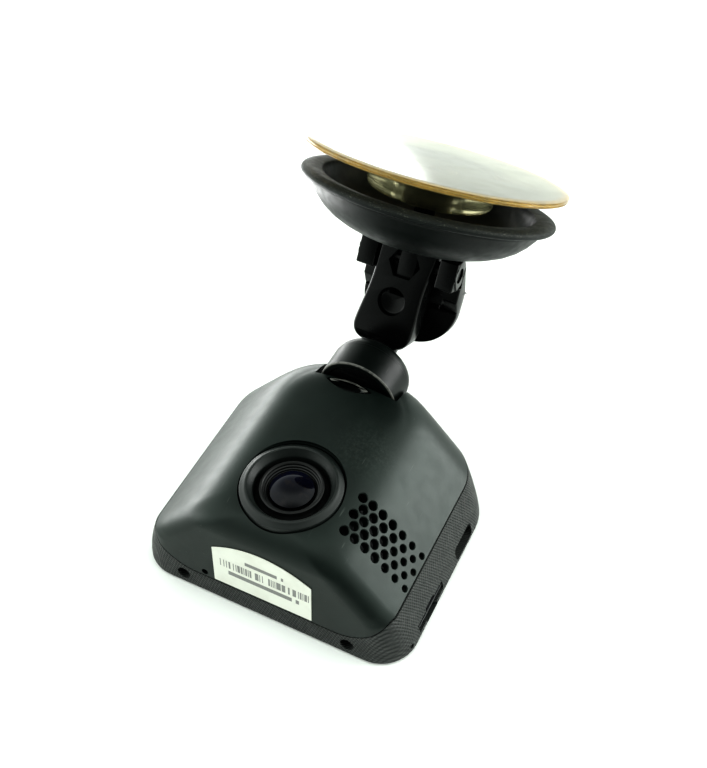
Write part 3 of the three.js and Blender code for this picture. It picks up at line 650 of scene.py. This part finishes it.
def below_seam(shift):
    steps = 64
    reach = SEAM["climb_end"]
    climb = [reach - 2 * reach * i / steps for i in range(steps + 1)]
    line = [(x, seam_height(x) + shift) for x in (40, *climb, -40)]
    front = moved(plate([(-40, -10), (40, -10), *line], -40, 40), UPRIGHT)
    start, near, far = SEAM["corner_y"], SEAM["side"] + shift, SEAM["top"] + shift
    side = side_plate([(start, -9), (39, -9), (39, far), (start, near)], -39, 39)
    return join(front, side)


def grille_cutters():
    """Round holes with a small countersink, square to the front where each one is."""
    sides = 20
    sink = GRILLE["sink"]
    middle = GRILLE["columns"] // 2
    points = []
    faces = []
    for row in range(GRILLE["rows"]):
        for column in range(row % 2, GRILLE["columns"], 2):
            x = GRILLE["start_x"] + column * GRILLE["pitch_x"]
            y = GRILLE["start_y"] - row * GRILLE["pitch_y"]
            radius = GRILLE["hole"] - GRILLE["shrink"] * max(0, column - middle) / middle
            z = arch_height(x) * tilted(y)
            lean = math.atan(BODY["arch_slope"] / (1 + math.exp((BODY["arch_knee"] - x) / BODY["arch_soft"])))
            place = Matrix.Translation((x, y, z)) @ Matrix.Rotation(lean, 4, "Y")
            profile = [(0, -3), (radius, -3), (radius, -sink), (radius + sink, 0.02), (radius + sink, 1),
                       (0, 1)]
            hole = moved(turned(profile, sides), place)
            base = len(points)
            points += [v.co.copy() for v in hole.data.vertices]
            faces += [tuple(base + i for i in p.vertices) for p in hole.data.polygons]
            bpy.data.objects.remove(hole)
    return mesh_object("grille", points, faces)


outer_form = body_form(0)
inner_form = body_form(WALL)


def front_case():
    start, z = SOCKET["start"], SOCKET["z"]
    channel, half = DOCK["channel"], DOCK["tongue_half"]
    floor = start - 0.6
    spare = 0.5
    hole, mouth = LENS_HOLE["radius"], LENS_HOLE["mouth"]
    straight, mouth_start = LENS_HOLE["straight"], LENS_HOLE["mouth_start"]
    tunnel = rod("y", floor - DOCK["wall"], BODY["top"], DOCK["cradle"], (0, z), 96)
    cradle = common(tunnel, duplicate(outer_form))
    shell = cut(duplicate(outer_form), duplicate(inner_form))
    shell = join(shell, cradle)
    return cut(
        shell,
        below_seam(SEAM["gap"] / 2),
        rod("y", floor, 40, channel, (0, z), 96),
        box(-channel, floor, z, channel, 40, 50),
        box(-half - spare, 10, DOCK["tongue_low"] - spare, half + spare, 20, DOCK["tongue_high"] + spare),
        plate(catch_outline(GAP), 22, 40),
        turned_lens([(0, 10), (hole, 10), (hole, straight), (mouth, mouth_start), (mouth, 40), (0, 40)]),
        rod("y", -30, -20, MICROPHONE["hole"], (MICROPHONE["x"], MICROPHONE["z"]), 24),
        grille_cutters(),
    )


def rear_case():
    x, y = WINDOW["x"], WINDOW["y"]
    w, h = WINDOW["width"] / 2 + GAP, WINDOW["height"] / 2 + GAP
    shell = common(cut(duplicate(outer_form), duplicate(inner_form)), below_seam(-SEAM["gap"] / 2))
    cutters = [plate(round_rect(x - w, y - h, x + w, y + h, 1.6), -1, WALL + 1)]
    half, low, high = KEY["half"] + GAP, KEY["low"] - GAP, KEY["high"] + GAP
    for place in BUTTONS.values():
        hole = round_rect(place - half, low, place + half, high, KEY["hole_corner"])
        cutters.append(plate(hole, -1, WALL + 1))
    cutters.append(rod("z", -1, WALL + 1, LIGHT_HOLE["radius"], (LIGHT_HOLE["x"], LIGHT_HOLE["y"]), 24))
    side = CARD["width"] / 2 + GAP
    cutters.append(box(24, CARD["y"] - side, WALL, 34, CARD["y"] + side, CARD["z"] + CARD["thick"] + 0.5))
    cutters.append(rod("z", NOTCH["low"], NOTCH["high"], NOTCH["radius"], (NOTCH["x"], CARD["y"]), 48))
    w = USB["width"] / 2 + GAP
    low, high = USB["z"] - USB["height"] / 2 - 0.6, USB["z"] + USB["height"] / 2 + GAP
    cutters.append(side_plate(round_rect(USB["y"] - w, low, USB["y"] + w, high, 0.9, 6), 27.6, 34))
    radius = SCALLOP["radius"]
    cutters.append(rod("x", 27, 34, radius, (SCALLOP["y"], SCALLOP["depth"] - radius), 128))
    w, h = POWER["width"] / 2 + GAP, POWER["height"] / 2 + GAP
    y, z = POWER["y"], POWER["z"]
    cutters.append(side_plate(round_rect(y - w, z - h, y + w, z + h, 0.7, 4), -34, -24))
    cutters.append(rod("x", 24, 34, SIDE_HOLE["radius"], (SIDE_HOLE["y"], SIDE_HOLE["z"]), 20))
    for side in (-1, 1):
        cutters.append(rod("y", -30, -20, SCREW["hole"], (side * SCREW["x"], SCREW["z"]), 32))
    return cut(shell, *cutters)


# ---------- lens ----------
def turned_lens(profile, sides=128):
    return moved(turned(profile, sides), Matrix.Translation((0, LENS_Y, 0)))


def lens_trim():
    """The ring: a raised crest, then a conical mouth and a straight wall down to the barrel."""
    return turned_lens([
        (7.0, 22.9), (10.35, 22.9), (10.35, 26.15), (10.28, 26.36), (10.05, 26.52), (9.7, 26.7), (9.4, 26.92),
        (9.15, 27.1), (8.92, 27.15), (8.72, 27.08), (8.6, 26.88), (8.3, 26.5), (8.0, 26.1), (7.78, 25.8),
        (7.66, 25.62), (7.6, 25.4), (7.6, 24.0), (7.4, 23.6), (7.0, 23.5),
    ])


def lens_barrel():
    return turned_lens([
        (3.4, 9.4), (5.2, 9.4), (5.2, 17.4), (6.5, 17.4), (6.5, 23.9), (7.3, 23.9), (7.3, 24.6),
        (7.1, 24.8), (6.75, 25.15), (6.58, 25.45), (6.5, 25.75), (6.42, 25.98), (6.22, 26.1), (5.95, 26.08),
        (5.75, 25.92), (5.66, 25.6), (5.4, 25.48), (5.3, 25.15), (5.08, 25.05), (4.98, 24.75), (4.78, 24.62),
        (4.6, 24.4), (3.4, 23.8),
    ])


def front_lens():
    dome = arc(0, 18.6, 8, 56, 90, 14)
    return turned_lens([(0, 24.15), (3.2, 24.15), (4.5, 25.05), *dome])


# ---------- other pieces of the body ----------
def sticker():
    half, steps = LABEL["half"], 40
    outline = [(-half, LABEL["low"]), (half, LABEL["low"])]
    for i in range(steps + 1):
        x = half - 2 * half * i / steps
        outline.append((x, LABEL["peak"] - LABEL["fall"] * (x / half) ** 2))
    lean = Matrix.Rotation(math.pi / 2 - math.atan(BODY["bottom_lean"]), 4, "X")
    return moved(plate(outline, 0, LABEL["thick"]), Matrix.Translation((0, BODY["bottom"] - 0.02, 0)) @ lean)


def menu_key(x):
    """A key cap with a wider flange behind the shell."""
    half, low, high, corner = KEY["half"], KEY["low"], KEY["high"], KEY["corner"]
    cap = softened(plate(round_rect(x - half, low, x + half, high, corner), KEY["face"], KEY["top"]), 0.3)
    wide, tall = 0.6, 0.7
    flange = round_rect(x - half - wide, low - tall, x + half + wide, high + tall, corner)
    return join(cap, plate(flange, KEY["top"] - 0.2, KEY["top"] + 0.4))


def cross_slot(axis_matrix, radius, head, shank, length, slot):
    """A screw about Z: a domed head with a cross recess, and a plain shank."""
    dome = arc(0, head - radius * 1.4, radius * 1.4, 45, 90, 8)
    screw = turned([(0, -length), (shank, -length), (shank, 0), (radius, 0), *dome], 40)
    for turn in (0, 90):
        blade = box(-radius * 0.6, -slot, head - 0.45, radius * 0.6, slot, head + 1)
        screw = cut(screw, moved(blade, Matrix.Rotation(math.radians(turn), 4, "Z")))
    return moved(screw, axis_matrix)


def catch_outline(grow, steps=24):
    """The tab's eye shape, between two arcs that meet at its tips."""
    low_r, high_r = CATCH["low_r"] + grow, CATCH["high_r"] + grow
    apart = CATCH["low_y"] - CATCH["high_y"]
    along = (apart ** 2 + low_r ** 2 - high_r ** 2) / (2 * apart)
    half = math.sqrt(low_r ** 2 - along ** 2)
    low_turn = math.degrees(math.asin(half / low_r))
    high_turn = math.degrees(math.asin(half / high_r))
    return [*arc(CATCH["x"], CATCH["low_y"], low_r, -90 - low_turn, -90 + low_turn, steps),
            *arc(CATCH["x"], CATCH["high_y"], high_r, 90 - high_turn, 90 + high_turn, steps)[1:-1]]


def release_catch():
    """An eye-shaped tab, dished in front, with a thin thumb ridge along its far edge."""
    x, low, top = CATCH["x"], CATCH["low"], CATCH["top"]
    tab = plate(catch_outline(0), low, top)
    dish = moved(ball_shape(14), Matrix.Translation((x, 14.2, top + 13.1)))
    tab = softened(cut(tab, dish), 0.12, 2)
    radius = CATCH["high_r"] - 0.05
    ridge = plate([*arc(x, CATCH["high_y"], radius, 65, 115, 36),
                   *arc(x, CATCH["high_y"], radius - 0.75, 115, 65, 36)], top - 0.6, CATCH["ridge"])
    hook = plate(round_rect(x + 2.9, 14.6, x + 3.7, 16.1, 0.35), top - 0.6, CATCH["ridge"] - 0.25)
    ridge = softened(common(join(ridge, hook), plate(catch_outline(-0.03), low, 30)), 0.2, 4)
    flange = box(x - CATCH["flange"], 13.4, low - 0.9, x + CATCH["flange"], 15.3, low + 0.1)
    return join(tab, ridge, flange)


# ---------- mount: socket ----------
def socket_cap():
    ball_y, radius, start = SOCKET["ball_y"], SOCKET["radius"], SOCKET["start"]
    seat = SOCKET["ball"] + GAP
    mouth_angle = math.degrees(math.asin(SOCKET["mouth"] / seat))
    dome = 3.2
    end = ball_y + SOCKET["mouth"]
    profile = [
        (SOCKET["bore"], start), (radius - 0.45, start), *arc(radius - 0.3, start + 0.3, 0.3, -80, 0, 5),
        (radius, start + 0.4),
        (radius, end - dome - 0.35), (radius - 0.12, end - dome - 0.2), (radius - 0.12, end - dome),
        *arc(radius - dome - 0.12, end - dome, dome, 4, 80, 18),
        *arc(0, ball_y, seat, mouth_angle, -10, 14), (SOCKET["bore"], ball_y - 3),
    ]
    return turned_y(profile, SOCKET["z"], 128)


def socket_base():
    z, start, bore = SOCKET["z"], SOCKET["start"], SOCKET["bore"]
    disc = softened(rod("y", start + 0.2, start + 0.7, bore - GAP, (0, z), 64), 0.1, 2)
    half = DOCK["tongue_half"]
    return join(disc, box(-half, 6.4, DOCK["tongue_low"], half, start + 0.6, DOCK["tongue_high"]))


# ---------- mount: arm and suction cup, in the arm's own frame ----------
TO_ROW = (Matrix.Translation((0, SOCKET["ball_y"], SOCKET["z"]))
          @ Matrix.Rotation(math.radians(MOUNT["tilt"]), 4, "X")
          @ Matrix.Rotation(math.radians(MOUNT["sway"]), 4, "Y")
          @ Matrix.Translation((0, MOUNT["offset"], 0)))


def ball(radius):
    return moved(ball_shape(radius), Matrix.Translation((0, -MOUNT["offset"], 0)))


def arm_outline(steps=20):
    """The arm's front face: a waist, a wider round toe, and a lean to one side."""
    low, top = ARM["low"], ARM["top"]
    half_top, half_low = ARM["half_top"], ARM["half_low"]
    corner = 4.6
    edge = []
    for i in range(steps + 1):
        t = i / steps
        z = low + corner + (top - low - corner) * t
        half = half_low + (half_top - half_low) * t - ARM["waist"] * math.sin(math.pi * t) ** 2
        edge.append((half, z))
    outline = [*arc(-half_low + corner, low + corner, corner, 180, 270, 14),
               *arc(half_low - corner, low + corner, corner, 270, 360, 14)[:-1],
               *edge, *[(-x, z) for x, z in reversed(edge[1:])]]
    return [(x + ARM["lean"] * (z - top), z) for x, z in outline]


def mount_arm():
    low, top, depth = ARM["low"], ARM["top"], ARM["depth"]
    face = moved(plate(arm_outline(), -depth, depth), UPRIGHT)
    toe = rod("x", -14, 14, depth, (0, low + depth), 64)
    toe = join(toe, box(-14, -depth, low + depth, 14, depth, top + 1))
    bar = softened(common(face, toe), 0.7, 5, 40)
    neck = moved(rod("z", 3.6, 10.6, 2.2, (0, 0), 40),
                 Matrix.Translation((0, -MOUNT["offset"], 0))
                 @ Matrix.Rotation(math.radians(-90 - MOUNT["tilt"]), 4, "X"))
    neck = cut(neck, ball(SOCKET["ball"] + GAP))
    bar = join(bar, neck)

    def on_front(z, out):
        """A cutter's place on the leaning front face, a little out of it or into it."""
        place = Matrix.Translation((ARM["lean"] * (z - top), -depth - out, z))
        return place @ UPRIGHT

    wide = ARM["hex"]
    hexagon = turned([(0, -2), (wide - 0.5, -2), (wide, 0.4), (wide, 2), (0, 2)], 6)
    hexagon = moved(hexagon, on_front(ARM["hex_z"], 0.2))
    wide = ARM["recess"]
    dimple = turned([(0, -1.1), (wide - 0.8, -1.1), (wide - 0.5, -0.9), (wide - 0.2, 0.1), (wide, 0.6),
                     (wide, 2), (0, 2)], 56)
    dimple = moved(dimple, on_front(ARM["recess_z"], -0.2))
    return cut(
        bar, hexagon, dimple,
        box(-2.5, -2.5, 16, 2.5, depth + 1, top + 1),
        rod("x", -14, 14, LEVER["pin"] + GAP, (LEVER["pin_y"], LEVER["pin_z"]), 32),
    )


def suction_bowl():
    rim, floor, radius, inner, lip = BOWL["rim"], BOWL["floor"], BOWL["radius"], BOWL["inner"], BOWL["lip"]
    under = [(2.7, floor), (10.2, floor), (12.6, floor + 0.22), (15.2, floor + 0.85), (17.6, floor + 1.75),
             (19.8, floor + 2.85), (21.6, floor + 4.15), (23.1, floor + 5.7), (24.2, floor + 7.2),
             (24.85, rim - lip - 0.75), (25.05, rim - lip - 0.5), (25.12, rim - lip - 0.15)]
    edge = [(25.6, rim - lip - 0.05), (25.9, rim - lip + 0.05), (26.3, rim - lip + 0.1),
            *arc(radius - 0.75, rim - 1.1, 0.75, -60, 62, 9)]
    top = [(radius - 1.6, rim - 0.06), (24.8, rim - 0.14), (inner + 0.5, rim - 0.32),
           *arc(inner + 0.45, rim - 0.75, 0.4, 95, 180, 5)]
    inside = [(inner - 0.3, rim - 1.6), (21.7, floor + 7.4), (20.9, floor + 6.1), (19.6, floor + 4.8),
              (18, floor + 3.9), (15.8, floor + 3.1), (13.4, floor + 2.5), (2.7, floor + 2.2)]
    return turned([*under, *edge, *top, *inside], 160)


def mark(obj, name, test):
    """Stores which points pass a test, for the piece's material."""
    layer = obj.data.attributes.new(name, "FLOAT", "POINT")
    for index, vertex in enumerate(obj.data.vertices):
        layer.data[index].value = 1.0 if test(vertex.co) else 0.0
    return obj


def on_bowl_rim(p):
    return p.z > BOWL["rim"] - 1 and math.hypot(p.x, p.y) > BOWL["inner"]


def on_pad_edge(p):
    return p.z > PAD["low"] and math.hypot(p.x, p.y) > PAD["radius"] - 0.7


def on_cap_edge(p):
    return p.y < SOCKET["start"] + 0.32 and math.hypot(p.x, p.z - SOCKET["z"]) > SOCKET["radius"] - 0.36


def on_thumb_ridge(p):
    return p.z > CATCH["ridge"] - 0.15


def suction_pad():
    low, high, radius, boss, boss_low = PAD["low"], PAD["high"], PAD["radius"], PAD["boss"], PAD["boss_low"]
    pocket = boss_low + 3.2
    hub = [(0, pocket), (5.3, pocket), (5.3, boss_low), (boss - 2.2, boss_low),
           *arc(boss - 2.2, boss_low + 2.2, 2.2, -80, 0, 9), (boss, low - 0.7),
           *arc(boss + 0.7, low - 0.7, 0.7, 170, 95, 5)]
    flange = [(radius - 4, low + 0.22), (radius - 0.55, low + 0.35), (radius - 0.15, low + 0.5),
              (radius, low + 0.68), (radius - 0.28, low + 0.8), (radius - 0.3, low + 0.86),
              (radius, low + 0.98), (radius, low + 1.22), (radius - 0.26, low + 1.32),
              (radius - 0.28, low + 1.38), (radius - 0.12, low + 1.5), (radius - 0.6, high - 0.06),
              (radius - 2, high), (0, high)]
    return turned([*hub, *flange], 160)


def pad_stud():
    low = PAD["boss_low"]
    head = turned([(0, low + 0.8), (4.7, low + 0.8), (5, low + 1.1), (5, low + 2.6), (4.7, low + 2.9),
                   (0, low + 2.9)], 64)
    shaft = rod("z", 27.2, low + 1.2, 2.2, (0, 0), 40)
    eye = softened(box(-2.1, -2.2, 19.6, 2.1, 2.4, 27.6), 0.3)
    play = LEVER["pin"] + 0.25
    y, z = LEVER["pin_y"], LEVER["pin_z"]
    return cut(join(head, shaft, eye), box(-3, y - play, z - play, 3, y + play, z + play + 3))


def lock_lever():
    pin_y, pin_z, cheek = LEVER["pin_y"], LEVER["pin_z"], LEVER["cheek"]
    inner, outer, end, front, back = (LEVER[k] for k in ("inner", "outer", "end", "front", "back"))
    paddle_top = pin_z - 5.4
    corner, bridge = LEVER["corner"], LEVER["bridge"]
    outline = [*arc(-outer + corner, end + corner, corner, 180, 270, 20),
               *arc(outer - corner, end + corner, corner, 270, 360, 20),
               (outer, paddle_top), (-outer, paddle_top)]
    lever = moved(plate(outline, -back, -front), UPRIGHT)
    wall = side_plate([(bridge, 15.5), (front + 0.3, 15.5), (front + 0.3, 21), (5, 22.6), (bridge, 21.8)],
                      -inner - 1, inner + 1)
    lever = join(lever, wall)
    for a in (-outer, inner):
        b = a + outer - inner
        web = side_plate([(pin_y - 1, pin_z - cheek + 0.1), (bridge, 20.2), (bridge, 17),
                          (front, end + corner), (back, end + corner), (back, paddle_top),
                          (pin_y + 2.4, pin_z + 2.4), (pin_y, pin_z + cheek)], a, b)
        block = box(a, LEVER["block_front"], LEVER["block_low"], b, pin_y, LEVER["block_high"])
        lever = join(lever, rod("x", a, b, cheek, (pin_y, pin_z), 64), web, block)
    lever = softened(lever, 0.35, 3, 28)
    return cut(lever, rod("x", -20, 20, LEVER["pin"] + GAP, (pin_y, pin_z), 32))


# ---------- pieces ----------
def add_body():
    finished(front_case(), "front_case", "camera", front_paint, "front_shell", angle=30)
    finished(rear_case(), "rear_case", "camera", band_paint, "rear_shell", angle=30)
    finished(sticker(), "bar_sticker", "camera", label_paint, "serial_label")
    finished(lens_trim(), "lens_trim", "camera", trim_paint, "lens_ring")
    finished(lens_barrel(), "lens_tube", "camera", barrel_paint, "lens_barrel")
    finished(front_lens(), "lens_dome", "camera", glass_paint, "front_lens")
    x, y = WINDOW["x"], WINDOW["y"]
    w, h = WINDOW["width"] / 2, WINDOW["height"] / 2
    window = softened(plate(round_rect(x - w, y - h, x + w, y + h, 1.3), 0, WINDOW["thick"]), 0.2)
    finished(window, "window", "camera", screen_paint, "screen_window")
    for name, place in BUTTONS.items():
        finished(menu_key(place), name + "_key_cap", name + "_key", button_paint, name + "_button")
    for side, name in ((-1, "left"), (1, "right")):
        place = Matrix.Translation((side * SCREW["x"], SCREW["y"], SCREW["z"])) @ UPRIGHT
        screw = cross_slot(place, *(SCREW[key] for key in ("head", "rise", "shank", "length", "slot")))
        name = "case_screw_" + name
        finished(screw, name + "_head", "camera", steel_paint, name)


def add_mount():
    # The thumb ridge and the cap's front edge are marked so that their paint lightens them: a painted
    # highlight as well as wear.
    catch = mark(release_catch(), "edge", on_thumb_ridge)
    finished(catch, "catch_tab", "catch", catch_paint, "release_catch")
    cap = mark(socket_cap(), "edge", on_cap_edge)
    finished(cap, "ball_cap", "dock", cap_paint, "socket_cap")
    finished(socket_base(), "dock_base", "dock", mount_paint, "socket_base")
    pieces = [
        (ball(SOCKET["ball"]), "ball", "ball", "mount_plastic", mount_paint, "joint_ball"),
        (mount_arm(), "arm_bar", "arm", "mount_plastic", mount_paint, "mount_arm"),
        (mark(suction_bowl(), "rim", on_bowl_rim), "bowl", "arm", "bowl_plastic", bowl_paint, "suction_bowl"),
        (lock_lever(), "lever_paddle", "lever", "mount_plastic", mount_paint, "lock_lever"),
        (pad_stud(), "stud", "pad", "mount_plastic", mount_paint, "pad_stud"),
        (mark(suction_pad(), "edge", on_pad_edge), "pad_disc", "pad", "pad_tpu", pad_paint, "suction_pad"),
    ]
    for obj, name, body, slot, paint, node in pieces:
        finished(moved(obj, TO_ROW), name, body, paint, node)


def dress_cad():
    """CAD pieces that keep their shape get their finish here."""
    kept = {
        "lens_holder": chip_paint, "image_sensor": chip_paint, "screen_panel": panel_paint,
        "status_light": light_paint, "power_button": button_paint, "main_board": board_paint,
        "processor": chip_paint, "memory_chip": chip_paint, "usb_port": tin_paint, "card_slot": tin_paint,
        "memory_card": card_paint, "battery": cell_paint, "microphone": tin_paint,
        "board_screw_left": steel_paint, "board_screw_right": steel_paint, "speaker": liner_paint,
        "spring_washer": steel_paint, "friction_pad": liner_paint, "lever_pin": pin_paint,
    }
    for name, paint in kept.items():
        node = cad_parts[name]
        node.data.materials.clear()
        node.data.materials.append(paint.material)


# ---------- studio ----------
def add_floor():
    half = 8
    low = -1e-4
    corners = [(-half, -half, low), (half, -half, low), (half, half, low), (-half, half, low)]
    floor = mesh_object("floor", corners, [(0, 1, 2, 3)])
    paint = Paint("floor_paper", (0.93, 0.94, 0.925), 0.75)
    paint.bump(paint.noise(0.6, 3), 0.01, 0.2)
    floor.data.materials.append(paint.material)


def add_area(name, place, target, size, power):
    data = bpy.data.lights.new(name, "AREA")
    data.shape = "RECTANGLE"
    data.size, data.size_y = size
    data.energy = power
    obj = new_object(name, data)
    obj.location = place
    obj.rotation_euler = (Vector(target) - Vector(place)).to_track_quat("-Z", "Y").to_euler()
    return obj


# direction, cosine where the dark starts, cosine where it is full, share of light left
DARK_SIDES = [((0.4, -0.8, 0.3), 0.45, 0.85, 0.15), ((-0.31, 0.59, 0.745), 0.72, 0.95, 0.42)]
DOME = 1.3
# direction, distance, width, height, radiance
SOFT_BOXES = [
    ((0.78, 0.58, 0.22), 0.8, 0.42, 0.4, 4.8),
    ((-0.87, -0.3, 0.12), 0.7, 0.3, 0.4, 1.5),
]
GLOW = dict(x=-0.19, y=0.13, z=0.002, width=0.24, height=0.32, radiance=4.2)
CAMERA = dict(place=(69.65, -116.85, 196.34), azimuth=27.64, elevation=48.15, roll=-1.56, lens=50.86)


def add_light():
    """A bright soft dome with two darker gaps, and two softboxes."""
    world = bpy.data.worlds.new("studio")
    world.use_nodes = True
    bpy.context.scene.world = world
    tree = world.node_tree
    background = tree.nodes["Background"]
    background.inputs["Color"].default_value = (0.94, 1, 0.955, 1)
    where = tree.nodes.new("ShaderNodeTexCoord")
    strength = None
    for direction, start, full, share in DARK_SIDES:
        facing = tree.nodes.new("ShaderNodeVectorMath")
        facing.operation = "DOT_PRODUCT"
        facing.inputs[1].default_value = Vector(direction).normalized()
        tree.links.new(where.outputs["Generated"], facing.inputs[0])
        spread = tree.nodes.new("ShaderNodeMapRange")
        set_range(spread, start, full, 1, share)
        tree.links.new(facing.outputs["Value"], spread.inputs["Value"])
        times = tree.nodes.new("ShaderNodeMath")
        times.operation = "MULTIPLY"
        times.inputs[0].default_value = DOME
        if strength is not None:
            tree.links.new(strength, times.inputs[0])
        tree.links.new(spread.outputs["Result"], times.inputs[1])
        strength = times.outputs[0]
    tree.links.new(strength, background.inputs["Strength"])
    for index, (direction, distance, width, height, radiance) in enumerate(SOFT_BOXES):
        place = Vector(direction).normalized() * distance
        power = radiance * math.pi * width * height
        add_area("softbox_%d" % index, place, (0, 0, 0.02), (width, height), power)


def add_floor_glow():
    """Light from the bright paper beside the object, on the far left."""
    x, y, width, height = (GLOW[key] for key in ("x", "y", "width", "height"))
    power = GLOW["radiance"] * math.pi * width * height
    glow = add_area("floor_glow", (x, y, GLOW["z"]), (x, y, 1), (width, height), power)
    glow.visible_camera = False


def add_camera():
    azimuth, elevation, roll = (math.radians(CAMERA[key]) for key in ("azimuth", "elevation", "roll"))
    right = Vector((math.cos(azimuth), math.sin(azimuth), 0))
    up = Vector((-math.sin(azimuth) * math.sin(elevation), math.cos(azimuth) * math.sin(elevation),
                 math.cos(elevation)))
    back = right.cross(up)
    x_axis = right * math.cos(roll) + up * math.sin(roll)
    y_axis = up * math.cos(roll) - right * math.sin(roll)
    data = bpy.data.cameras.new("camera")
    data.sensor_width = 36
    data.lens = CAMERA["lens"]
    data.clip_start = 0.01
    camera = new_object("camera", data)
    turn = Matrix((x_axis, y_axis, back)).transposed().to_4x4()
    camera.matrix_world = Matrix.Translation(Vector(CAMERA["place"]) * MM) @ turn
    bpy.context.scene.camera = camera


def set_view():
    view = bpy.context.scene.view_settings
    view.view_transform = "Standard"
    view.look = "High Contrast"
    view.exposure = 0.35


add_camera()
add_body()
add_mount()
dress_cad()
bpy.data.objects.remove(outer_form)
bpy.data.objects.remove(inner_form)
add_floor()
add_light()
add_floor_glow()
set_view()
